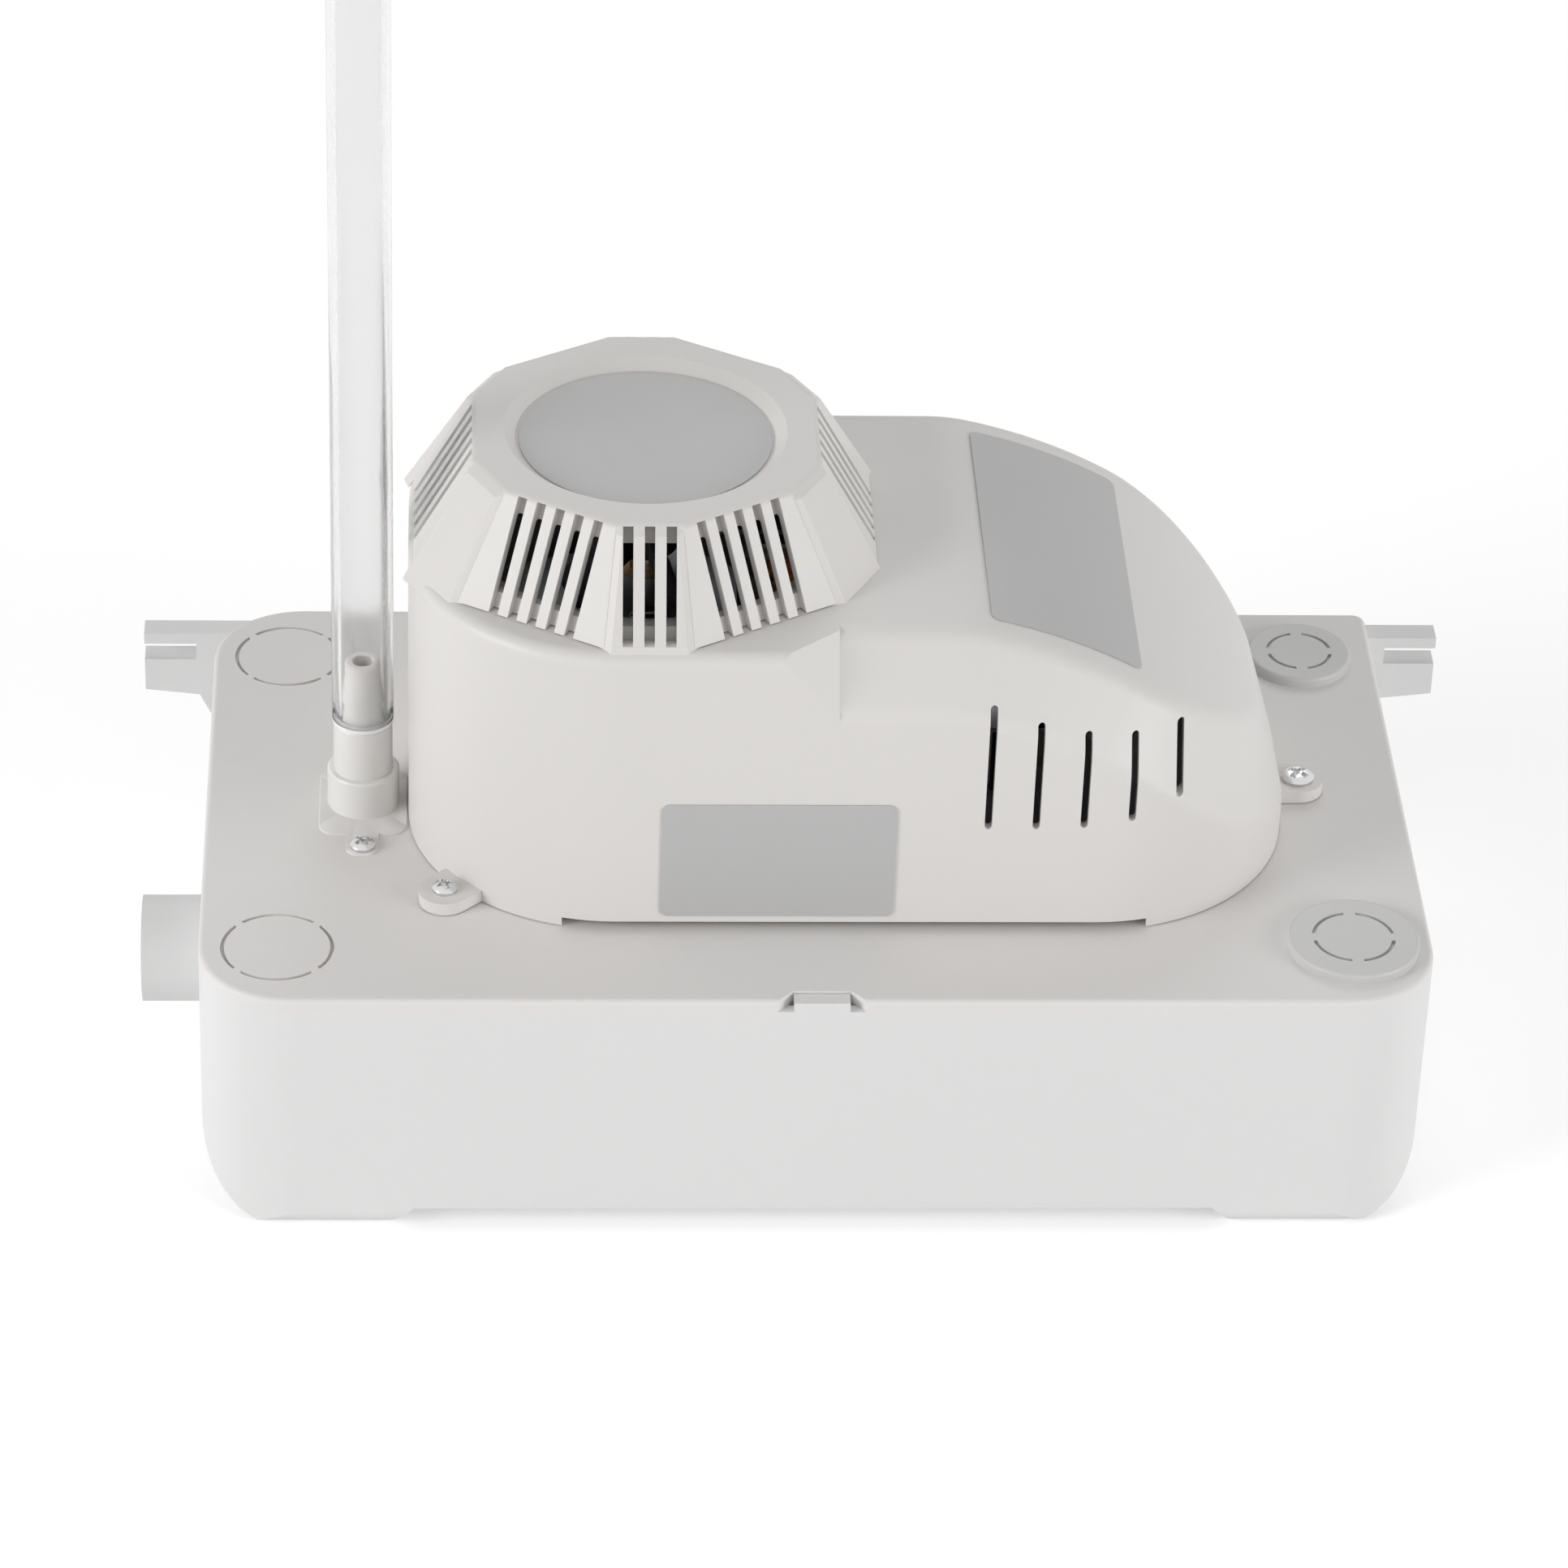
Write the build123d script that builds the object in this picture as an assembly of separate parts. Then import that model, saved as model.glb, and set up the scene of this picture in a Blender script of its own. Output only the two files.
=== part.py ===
from build123d import *
import math
import os

# Condensate pump. Millimetres, +Z up, the discharge side towards -X and the wall towards +Y.
# The origin is on the surface that the feet stand on, in the middle of the tank.

# Tank
tank_length = 280.0
tank_width = 160.0
tank_height = 61.0
tank_wall = 2.6
tank_corner_radius = 21.0
tank_square_corner_radius = 3.0
tank_end_radius = 18.0
tank_edge_radius = 4.0
tank_least_radius = 0.8
foot_length = 43.0
foot_height = 5.2
foot_slope = 5.5

# Wall ears on the rear of the tank
ear_length = 17.5
ear_thickness = 6.0
ear_top_drop = 0.3
ear_slot_height = 4.5
ear_slot_depth = 12.5
ear_upper_prong = 2.9
ear_lower_prong = 8.7
ear_gusset = 7.5
ear_root_drop = 4.0
ear_tip_share = 0.25
ear_tip_rise = 1.5

# Side inlet stub
stub_outer_radius = 12.25
stub_wall = 2.4
stub_reach = 13.8
stub_inset_y = 47.0
stub_drop = 16.5

# Lid
lid_thickness = 3.0
lid_edge_radius = 1.2
lid_lip_depth = 5.0
lid_lip_wall = 1.8
lid_fit_clearance = 0.3
lid_boss_height = 4.0
lid_boss_radius = 3.6
lid_boss_wall = 2.0
lid_boss_floor = 1.5
lid_boss_cap = 1.0
latch_top_drop = 0.6
latch_root_depth = 6.0
latch_width = 12.6
latch_depth = 3.6
latch_flank = 4.0
knockout_radius = 12.4
knockout_groove = 0.9
knockout_groove_depth = 1.2
knockout_web_angle = 9.0
knockout_inset_x = 17.8
knockout_inset_y = 20.6
knockout_webs = 4
groove_web_size = 4.0

# Inlet plugs in the lid
plug_inset_x = 18.3
front_plug_inset_y = 21.4
rear_plug_inset_y = 20.6
front_plug_radius = 15.1
rear_plug_radius = 12.5
plug_head_thickness = 2.6
plug_spigot_inset = 2.8
plug_spigot_length = 8.0
plug_spigot_wall = 1.6
plug_clearance = 0.25
plug_ring_width = 0.9
plug_ring_depth = 0.7
plug_ring_share = 0.6
plug_webs = 4
plug_edge_radius = 0.9

# Motor cover
cover_inset = 47.0
cover_length = 203.0
cover_centre_y = 5.0
cover_depth = 116.0
cover_corner_radius = 47.0
cover_height = 74.0
cover_wall = 2.4
roof_bend_reach = 125.0
roof_mid_reach = 163.0
roof_mid_height = 60.2
roof_end_height = 24.0
shoulder_width = 11.5
shoulder_height = 15.5
shoulder_start_reach = 82.0
shoulder_full_reach = 96.0
shoulder_soft_radius = 6.0
roof_bend_radius = 40.0
cover_edge_radius = 3.0
cover_foot_gap = 0.3
sill_gap = 2.2
sill_start = 35.0
sill_end = 168.0
side_slot_count = 5
side_slot_width = 1.7
side_slot_pitch = 10.8
side_slot_reach = 130.5
side_slot_bottom_height = 28.2
side_slot_bottom_rise = 6.4
side_slot_top_height = 50.6
side_slot_top_rise = 9.6
lug_radius = 6.0
lug_height = 3.0
side_lug_reach = 5.4
side_lug_offset_y = -1.0
corner_lug_reach_x = 38.5
corner_lug_reach_y = 35.7
lug_hole_clearance = 0.5
roof_opening_depth = 4.0

# Vent cap
cap_inset = 53.5
cap_height = 23.5
cap_foot_radius = 55.5
cap_top_radius = 41.5
cap_wide_half_angle = 19.5
cap_wall = 2.2
cap_slot_width = 2.3
cap_slot_pitch = 4.8
cap_wide_slots = 5
cap_narrow_slots = 3
cap_dish_radius = 32.0
cap_dish_floor_radius = 29.3
cap_dish_depth = 2.6
cap_edge_radius = 1.6
cap_roof_thickness = 5.0
cap_slot_inset = 0.6
cap_slot_head = 1.2
cap_slot_depth = 5.72
cap_wall_slant = 1.2
cap_hoop = 3.0

# Labels
label_thickness = 0.3
label_seat = 0.05
cap_label_radius = 28.7
front_label_length = 53.0
front_label_height = 30.5
front_label_reach = 83.5
front_label_rise = 19.5
label_corner_radius = 2.0
roof_label_start = 130.5
roof_label_end = 165.0
roof_label_width = 80.0

# Check valve and discharge hose
valve_inset = 36.5
valve_y = -1.5
valve_collar_radius = 8.3
valve_collar_height = 10.0
valve_neck_radius = 6.8
valve_neck_height = 23.0
valve_seat_rise = 1.0
barb_root_radius = 4.1
barb_radius = 4.9
barb_tip_radius = 4.1
barb_step = 6.5
barb_tip_length = 3.4
valve_bore_radius = 2.3
valve_chamber_radius = 4.6
valve_chamber_height = 11.0
ball_radius = 3.4
ball_travel = 3.0
ball_clearance = 0.15
valve_tail_radius = 7.0
valve_tail_depth = 9.0
valve_flange_radius = 9.6
valve_flange_thickness = 1.2
tube_socket_depth = 6.0
seal_section_radius = 1.0
seal_lift = 0.5
retainer_length = 20.6
retainer_front_reach = 15.7
retainer_rear_reach = 12.5
retainer_thickness = 1.4
retainer_corner_radius = 4.0
retainer_tab_width = 7.4
retainer_tab_reach = 23.7
retainer_tab_overlap = 2.0
retainer_tab_radius = 2.2
retainer_screw_reach = 19.1
retainer_screw_length = 8.0
hose_inner_radius = 5.0
hose_outer_radius = 7.1
hose_length = 201.0
touch_gap = 0.1

# Screws
screw_head_radius = 3.6
screw_head_height = 2.0
screw_shank_radius = 1.6
screw_length = 9.0
screw_clearance = 0.15
screw_head_round = 1.2
screw_recess_width = 0.9
screw_recess_length = 3.8
screw_recess_depth = 1.1

# Motor
core_rise = 28.0
core_thickness = 22.0
core_width = 62.0
core_reach_left = 30.0
core_reach_right = 44.0
core_bore_radius = 16.4
core_window_width = 30.0
core_window_length = 12.0
core_leg = 10.0
core_corner_radius = 4.0
core_window_radius = 1.0
air_gap = 0.4
coil_width = 27.0
coil_overhang = 7.0
bobbin_flange = 1.6
bobbin_wall = 1.2
bobbin_clearance = 0.3
winding_corner_radius = 3.0
winding_rim = 1.0
shaft_radius = 3.0
shaft_tail = 5.5
bearing_radius = 6.5
bearing_height = 7.0
running_gap = 0.05
bracket_thickness = 2.5
bracket_gap = 9.0
bracket_half_width = 9.0
motor_screw_offset = 24.5
motor_screw_radius = 2.0
motor_screw_head_radius = 3.6
motor_screw_head = 2.6
motor_post_radius = 5.0
motor_post_solid = 4.0
motor_screw_bottom = 6.0
motor_screw_slot = 1.0

# Cooling fan
fan_hub_radius = 8.0
fan_radius = 35.0
fan_rise = 17.5
blade_root = 1.0
fan_hub_height = 12.0
fan_blades = 9
fan_blade_thickness = 1.4
fan_blade_height = 9.0
fan_blade_pitch = 38.0
roof_opening_radius = 42.0

# Pump end
column_outer_radius = 8.5
column_inner_radius = 6.0
column_flange_radius = 16.0
column_flange_thickness = 2.5
shaft_clearance = 0.5
drain_slot_start = 8.0
drain_slot_width = 5.0
drain_slot_height = 12.0
flange_screw_inset = 3.6
flange_screw_length = 7.0
volute_outer_radius = 27.0
volute_wall = 2.2
volute_height = 13.5
volute_boss_radius = 3.4
volute_screw_length = 9.0
outlet_offset = 20.0
outlet_length = 8.0
outlet_radius = 6.6
outlet_bore_radius = 3.6
impeller_radius = 18.0
impeller_disc_thickness = 2.0
impeller_hub_radius = 5.5
impeller_blades = 6
impeller_blade_height = 5.0
impeller_blade_thickness = 1.5
impeller_blade_sweep = 40.0
impeller_gap = 1.2
eye_radius = 7.0
volute_plate_thickness = 2.2
strainer_radius = 21.0
strainer_wall = 1.4
strainer_height = 6.5
strainer_floor_gap = 0.5
strainer_slot_width = 2.0
strainer_slots = 18
tube_outer_radius = 5.0
tube_inner_radius = 3.6
tube_bend_radius = 9.0

# Float and switches
pivot_reach = 129.0
pivot_drop = 11.0
pivot_radius = 1.5
pivot_length = 18.0
pin_head_rim = 1.0
pin_head_length = 1.5
seat_gap = 0.03
arm_hub_radius = 4.0
float_bracket_width = 16.0
bracket_wing = 8.0
bracket_screw_shift = 1.0
bracket_screw_length = 5.5
float_bracket_thickness = 2.4
float_bracket_length = 12.0
float_arm_width = 9.0
float_arm_thickness = 4.0
float_length = 42.0
float_pad_length = 22.0
float_width = 52.0
float_height = 20.0
float_reach = 48.0
float_floor_gap = 6.2
float_corner_radius = 7.0
float_edge_radius = 2.5
rod_reach = 9.0
rod_radius = 2.0
rod_foot_radius = 3.2
rod_foot_height = 2.0
rod_gap = 0.4
rod_hole_clearance = 0.3
lever_reach = 21.0
lever_rise = 20.0
lever_pin_tail = 2.0
lever_length = 26.0
lever_width = 12.0
lever_thickness = 1.2
lever_gap = 0.35
lever_pin_radius = 1.2
lever_hub_radius = 2.6
lever_side_gap = 1.8
switch_length = 20.0
switch_height = 11.0
switch_thickness = 6.4
switch_gap = 1.6
switch_screw_radius = 1.1
switch_button_inset = 5.0
switch_blade_inset = 3.0
switch_blade_pitch = 6.5
switch_blade_height = 5.0
switch_button_radius = 1.2
switch_button_height = 1.6
switch_blades = 3
switch_blade_width = 3.2
switch_blade_thickness = 0.8
switch_hub_overlap = 2.0
switch_screw_share = 0.6
switch_screw_inset = 4.0
switch_screw_head_rim = 1.2
switch_screw_head = 1.4
switch_nut_length = 2.0
switch_bracket_thickness = 1.6
switch_bracket_foot = 10.0
switch_bracket_margin = 4.0
switch_foot_screw_gap = 0.5
switch_foot_screw_left = 4.0
switch_foot_screw_right = 9.0
gland_reach = 141.0
gland_rise = 14.0
gland_radius = 7.0
gland_bore_radius = 3.6
gland_flange_radius = 9.5
gland_flange_thickness = 2.0

# Heights and places that follow from the sizes above
deck = tank_height + lid_thickness
half_length = tank_length / 2
half_width = tank_width / 2
tank_floor = foot_height + tank_wall
stub_y = stub_inset_y - half_width
stub_z = tank_height - stub_drop
knockout_x = knockout_inset_x - half_length
knockout_y = half_width - knockout_inset_y
plug_x = half_length - plug_inset_x
front_plug_y = front_plug_inset_y - half_width
rear_plug_y = half_width - rear_plug_inset_y
cover_left = cover_inset - half_length
cover_right = cover_left + cover_length
cover_front = cover_centre_y - cover_depth / 2
cover_rear = cover_centre_y + cover_depth / 2
cover_base = deck + cover_foot_gap
cover_top = deck + cover_height
cover_corner_x = cover_left + cover_corner_radius
cover_corner_offset_y = cover_depth / 2 - cover_corner_radius
roof_bend_x = cover_left + roof_bend_reach
roof_mid_x = cover_left + roof_mid_reach
roof_mid_z = deck + roof_mid_height
roof_end_z = deck + roof_end_height
shoulder_start_x = cover_left + shoulder_start_reach
shoulder_full_x = cover_left + shoulder_full_reach
side_lug_x = cover_right + side_lug_reach
side_lug_y = cover_centre_y + side_lug_offset_y
corner_lug_x = cover_corner_x - corner_lug_reach_x
corner_lug_offset_y = cover_corner_offset_y + corner_lug_reach_y
cap_x = cover_left + cap_inset
cap_base = cover_top + cover_foot_gap
cap_top = cap_base + cap_height
valve_x = valve_inset - half_length
valve_collar_top = deck + valve_collar_height
valve_neck_top = deck + valve_neck_height
valve_seat_z = deck + valve_seat_rise
retainer_front = valve_y - retainer_front_reach
retainer_rear = valve_y + retainer_rear_reach
retainer_tab_front = valve_y - retainer_tab_reach
retainer_screw_y = valve_y - retainer_screw_reach
hose_top = valve_neck_top + hose_length
motor_x = cap_x
motor_y = cover_centre_y
core_bottom = deck + core_rise
core_top = core_bottom + core_thickness
fan_bottom = core_top + fan_rise
shaft_top = fan_bottom + fan_hub_height + shaft_tail
pivot_x = cover_left + pivot_reach
pivot_y = cover_centre_y
pivot_z = tank_height - pivot_drop
float_x = pivot_x + float_reach
float_z = tank_floor + float_floor_gap + float_height / 2
rod_x = pivot_x + rod_reach
lever_pivot_x = rod_x + lever_reach
lever_z = deck + lever_rise
gland_x = cover_left + gland_reach
gland_z = deck + gland_rise
rotor_radius = core_bore_radius - air_gap

MIN = (Align.CENTER, Align.CENTER, Align.MIN)


def rod(x, y, low, high, radius):
    return Pos(x, y, low) * Cylinder(radius, high - low, align=MIN)


def pipe(x, y, low, high, outer, inner):
    return rod(x, y, low, high, outer) - rod(x, y, low - 1, high + 1, inner)


def block(x_low, x_high, y_low, y_high, z_low, z_high):
    size = (x_high - x_low, y_high - y_low, z_high - z_low)
    middle = ((x_low + x_high) / 2, (y_low + y_high) / 2, (z_low + z_high) / 2)
    return Pos(*middle) * Box(*size)


def cone(x, y, low, high, low_radius, high_radius):
    return Pos(x, y, low) * Cone(low_radius, high_radius, high - low, align=MIN)


def around(x, y, count, shape, start=0.0):
    return [Pos(x, y, 0) * Rot(0, 0, start + 360.0 * i / count) * shape for i in range(count)]


# Plan outline of the tank and lid: three large corners and a nearly square one at the rear right.
def tank_plan(inset):
    outline = Rectangle(tank_length - 2 * inset, tank_width - 2 * inset)
    corners = sorted(outline.vertices(), key=lambda v: v.X + v.Y)
    outline = fillet(corners[:3], tank_corner_radius - inset)
    square_corner = sorted(outline.vertices(), key=lambda v: v.X + v.Y)[-1]
    return fillet(square_corner, max(tank_square_corner_radius - inset, tank_least_radius))


# Front view of the tank: rounded lower ends and two feet with a raised middle between them.
def tank_front(inset, top):
    left = -half_length + inset
    right = half_length - inset
    foot_end = half_length - foot_length + inset
    slope_end = foot_end - foot_slope
    radius = tank_end_radius - inset
    with BuildSketch(Plane.XZ) as sketch:
        with BuildLine():
            Polyline((left, top), (left, inset + radius))
            RadiusArc((left, inset + radius), (left + radius, inset), -radius)
            Polyline((left + radius, inset), (-foot_end, inset), (-slope_end, foot_height + inset),
                     (slope_end, foot_height + inset), (foot_end, inset), (right - radius, inset))
            RadiusArc((right - radius, inset), (right, inset + radius), -radius)
            Polyline((right, inset + radius), (right, top), (left, top))
        make_face()
    return sketch.sketch


def tank_form(inset, top):
    plan = extrude(tank_plan(inset), top)
    front = extrude(tank_front(inset, top), half_width, both=True)
    height = top - inset
    profile = Plane.YZ * (Pos(0, inset + height / 2) * Rectangle(tank_width - 2 * inset, height))
    low_corners = sorted(profile.vertices(), key=lambda v: v.Z)[:2]
    profile = fillet(low_corners, tank_edge_radius - min(inset, tank_edge_radius - tank_least_radius))
    return plan & front & extrude(profile, half_length, both=True)


# An ear in the plane of the rear wall: a slotted plate whose slot opens outwards.
def wall_ear(side):
    top = tank_height - ear_top_drop
    slot_top = top - ear_upper_prong
    slot_low = slot_top - ear_slot_height
    low = slot_low - ear_lower_prong
    root = half_length - tank_corner_radius
    tip = half_length + ear_length
    with BuildSketch(Plane.XZ) as sketch:
        with BuildLine():
            Polyline((root, top), (tip, top), (tip, low),
                     (half_length + ear_length * ear_tip_share, low - ear_tip_rise),
                     (half_length + ear_tip_rise, low - ear_gusset),
                     (root, low - ear_gusset - ear_root_drop), (root, top))
        make_face()
        with Locations((tip + 1 - (ear_slot_depth + 1) / 2, (slot_top + slot_low) / 2)):
            Rectangle(ear_slot_depth + 1, ear_slot_height, mode=Mode.SUBTRACT)
    plate = Pos(0, half_width, 0) * extrude(sketch.sketch, ear_thickness)
    if side < 0:
        plate = mirror(plate, Plane.YZ)
    return plate


def latch_tongue(side):
    outer = side * half_width
    inner = side * (half_width - latch_depth)
    low_y, high_y = sorted((outer, inner))
    width = latch_width / 2
    return block(-width, width, low_y, high_y, tank_height - latch_root_depth, deck - latch_top_drop)


def make_tank():
    body = tank_form(0, tank_height) + wall_ear(1) + wall_ear(-1)
    body -= tank_form(tank_wall, tank_height + 1)
    stub_axis = Pos(-half_length - stub_reach, stub_y, stub_z) * Rot(0, 90, 0)
    stub_length = stub_reach + tank_wall
    body += stub_axis * Cylinder(stub_outer_radius, stub_length, align=MIN)
    body -= stub_axis * Cylinder(stub_outer_radius - stub_wall, stub_length + 1, align=MIN)
    body += latch_tongue(1) + latch_tongue(-1)
    return body


# Lid: plate with a rounded upper edge, an inner lip, latch notches and every opening of the deck.
def latch_notch(side):
    inner = latch_width / 2 + lid_fit_clearance
    outer = inner + latch_flank
    depth = latch_depth + lid_fit_clearance
    edge = side * (half_width + 0.5)
    root = side * (half_width - depth)
    notch = make_face(Polyline((-inner, root), (inner, root), (outer, edge), (-outer, edge), (-inner, root)))
    return Pos(0, 0, tank_height - lid_lip_depth - 1) * extrude(notch, lid_lip_depth + lid_thickness + 3)


def knockout_groove_ring(x, y):
    ring = pipe(x, y, deck - knockout_groove_depth, deck + 1, knockout_radius + knockout_groove / 2,
                knockout_radius - knockout_groove / 2)
    web = Pos(knockout_radius, 0, deck) * Box(
        groove_web_size, knockout_radius * math.radians(knockout_web_angle), groove_web_size)
    for piece in around(x, y, knockout_webs, web, start=180 / knockout_webs):
        ring -= piece
    return ring


def cover_lug_places():
    return [(side_lug_x, side_lug_y), (corner_lug_x, cover_centre_y - corner_lug_offset_y),
            (corner_lug_x, cover_centre_y + corner_lug_offset_y)]


def motor_post_places():
    return [(motor_x, motor_y - motor_screw_offset), (motor_x, motor_y + motor_screw_offset)]


def make_lid():
    plate = Pos(0, 0, tank_height) * extrude(tank_plan(0), lid_thickness)
    top_edges = plate.faces().sort_by(Axis.Z)[-1].edges()
    plate = fillet(top_edges, lid_edge_radius)
    lip_inset = tank_wall + lid_fit_clearance
    lip = extrude(tank_plan(lip_inset) - tank_plan(lip_inset + lid_lip_wall), lid_lip_depth)
    lid = plate + Pos(0, 0, tank_height - lid_lip_depth) * lip
    lid -= latch_notch(1) + latch_notch(-1)
    lid -= knockout_groove_ring(knockout_x, -knockout_y)
    lid -= knockout_groove_ring(knockout_x, knockout_y)
    low = tank_height - 1
    high = deck + 1
    lid -= rod(plug_x, front_plug_y, low, high, front_plug_radius - plug_spigot_inset)
    lid -= rod(plug_x, rear_plug_y, low, high, rear_plug_radius - plug_spigot_inset)
    lid -= rod(valve_x, valve_y, low, high, valve_tail_radius + seal_section_radius)
    lid -= rod(motor_x, motor_y, low, high, column_inner_radius)
    lid -= rod(rod_x, pivot_y, low, high, rod_radius + rod_hole_clearance)
    lid -= rod(valve_x, retainer_screw_y, low, high, screw_shank_radius + screw_clearance)
    for x, y in cover_lug_places():
        lid += rod(x, y, tank_height - screw_length, tank_height, screw_shank_radius + lid_boss_wall)
        lid -= rod(x, y, tank_height - screw_length + lid_boss_floor, high, screw_shank_radius + screw_clearance)
    for x, y in flange_screw_places():
        lid += rod(x, y, deck, deck + lid_boss_height, lid_boss_radius)
        lid -= rod(x, y, low, deck + lid_boss_height - lid_boss_cap, screw_shank_radius + screw_clearance)
    for x, y in float_bracket_screw_places() + switch_bracket_screw_places():
        lid -= rod(x, y, low, high, screw_shank_radius + screw_clearance)
    for x, y in motor_post_places():
        lid += rod(x, y, deck, core_bottom - bracket_gap - bracket_thickness, motor_post_radius)
        lid -= rod(x, y, deck + motor_post_solid, core_bottom, motor_screw_radius + screw_clearance)
    return lid


# Plain outer form of the motor cover: a large-cornered outline under a roof that falls to the right.
def cover_form(inset, base):
    length = cover_right - cover_left - 2 * inset
    depth = cover_depth - 2 * inset
    middle = Pos((cover_left + cover_right) / 2, cover_centre_y, base)
    top = cover_top - inset
    right = cover_right - inset
    walls = middle * extrude(RectangleRounded(length, depth, cover_corner_radius - inset), top - base)
    with BuildSketch(Plane.XZ) as sketch:
        with BuildLine():
            Polyline((right, roof_end_z - inset), (right, base - 1), (cover_left, base - 1),
                     (cover_left, top), (roof_bend_x, top))
            ThreePointArc((roof_bend_x, top), (roof_mid_x, roof_mid_z - inset), (right, roof_end_z - inset))
        make_face()
        bend = sketch.vertices().filter_by(lambda v: abs(v.X - roof_bend_x) < 0.01 and v.Y > base)
        fillet(bend, roof_bend_radius)
    roof = Pos(0, cover_centre_y, 0) * extrude(sketch.sketch, cover_depth, both=True)
    return walls & roof


def front_roof_edge(form):
    roof = form.faces().sort_by(Axis.Z)[-1]
    return roof, roof.edges().sort_by(Axis.Y)[:1]


# The same form with the sloped shoulder round its roof, softened along both of its edges.
def shouldered_form(inset, base):
    form = cover_form(inset, base).solid()
    roof, seed = front_roof_edge(form)
    sloped = form.chamfer(shoulder_width, shoulder_height, seed, roof)
    roof, upper = front_roof_edge(sloped)
    front_wall = sloped.faces().sort_by(Axis.Y)[0]
    lower = front_wall.edges().sort_by(Axis.Z)[-1:]
    return sloped.fillet(shoulder_soft_radius, upper + lower)


# The barrel under the vent cap keeps its full wall height, and ends in a slanted facet each side.
def barrel_form(inset, base):
    form = cover_form(inset, base).solid()
    roof, seed = front_roof_edge(form)
    form = form.fillet(cover_edge_radius, seed)
    form = form & block(cover_left - 1, shoulder_full_x, cover_front - 1, cover_rear + 1, base, cover_top)
    for side in (-1, 1):
        wall_y = cover_centre_y + side * (cover_depth / 2 - inset)
        start = Vector(shoulder_start_x, wall_y, cover_top - inset)
        crease = Vector(shoulder_full_x, wall_y - side * shoulder_width, cover_top - inset)
        low = Vector(shoulder_full_x, wall_y, cover_top - inset - shoulder_height)
        normal = (crease - start).cross(low - start)
        outward = normal * (1 if normal.Z > 0 else -1)
        form = split(form, bisect_by=Plane(start, z_dir=outward), keep=Keep.BOTTOM)
    return form


def cover_shell():
    outer = shouldered_form(0, cover_base) + barrel_form(0, cover_base)
    inner = shouldered_form(cover_wall, cover_base - 1) + barrel_form(cover_wall, cover_base - 1)
    return outer - inner


# Slot i is measured from the one nearest the barrel. Their ends lie on two smooth curves.
def side_slot(i):
    share = i / (side_slot_count - 1)
    x = cover_left + side_slot_reach + i * side_slot_pitch
    low = deck + side_slot_bottom_height + side_slot_bottom_rise * share ** 4
    high = deck + side_slot_top_height + side_slot_top_rise * (1 - share) ** 2
    slot = Plane.XZ * (Pos(x, (low + high) / 2) * Rot(0, 0, 90) * SlotOverall(high - low, side_slot_width))
    return Pos(0, cover_centre_y, 0) * extrude(slot, cover_depth / 2 + 1, both=True)


def cover_lug(x, y):
    lug = rod(x, y, cover_base, cover_base + lug_height, lug_radius)
    if y == side_lug_y:
        web = block(cover_right - cover_wall, x, y - lug_radius, y + lug_radius, cover_base, cover_base + lug_height)
    else:
        corner = Vector(cover_corner_x,
                        cover_centre_y + math.copysign(cover_corner_offset_y, y - cover_centre_y))
        reach = Vector(x, y) - corner
        angle = math.degrees(math.atan2(reach.Y, reach.X))
        start = cover_corner_radius - cover_wall
        web = Pos(corner.X, corner.Y, cover_base) * Rot(0, 0, angle) * Pos((start + reach.length) / 2, 0, 0) * Box(
            reach.length - start, 2 * lug_radius, lug_height, align=MIN)
    return lug + web


def make_cover():
    cover = cover_shell()
    for i in range(side_slot_count):
        cover -= side_slot(i)
    cover -= rod(motor_x, motor_y, cover_top - cover_wall - roof_opening_depth, cover_top + 1, roof_opening_radius)
    cover -= block(cover_left + sill_start, cover_left + sill_end, cover_front - 1, cover_rear + 1,
                   cover_base - 1, cover_base + sill_gap)
    for x, y in cover_lug_places():
        cover += cover_lug(x, y)
        cover -= rod(x, y, cover_base - 1, cover_base + lug_height + 1,
                     screw_shank_radius + lug_hole_clearance)
    gland_hole = Plane.XZ * (Pos(gland_x, gland_z) * Circle(gland_radius))
    cover -= Pos(0, cover_rear + 1, 0) * extrude(gland_hole, cover_wall + 2)
    return cover


# Corner points of the twelve-sided cap: wide sides face +X and every 60 degrees, narrow ones between.
def cap_outline(radius):
    points = []
    for i in range(6):
        for side in (-1, 1):
            angle = math.radians(60 * i + side * cap_wide_half_angle)
            points.append((radius * math.cos(angle), radius * math.sin(angle)))
    return Polyline(points, close=True)


def cap_frustum(foot_radius, top_radius, low, high):
    foot = make_face(Pos(cap_x, cover_centre_y, low) * cap_outline(foot_radius))
    top = make_face(Pos(cap_x, cover_centre_y, high) * cap_outline(top_radius))
    return loft([foot, top])


# A group of slots through one side of the cap, as cutters that run from top edge to foot.
def cap_slots(angle, count, apothem_top, apothem_foot):
    lean = math.degrees(math.atan2(apothem_foot - apothem_top, cap_height))
    length = cap_height / math.cos(math.radians(lean)) + 1
    bar = Pos(apothem_top + cap_slot_inset, 0, cap_top - cap_slot_head) * Rot(0, 180 - lean, 0)
    cutter = bar * Pos(0, 0, length / 2 - 1) * Box(cap_slot_depth, cap_slot_width, length)
    cutters = []
    for i in range(count):
        offset = (i - (count - 1) / 2) * cap_slot_pitch
        cutters.append(Pos(cap_x, cover_centre_y, 0) * Rot(0, 0, angle) * Pos(0, offset, 0) * cutter)
    return cutters


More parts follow.
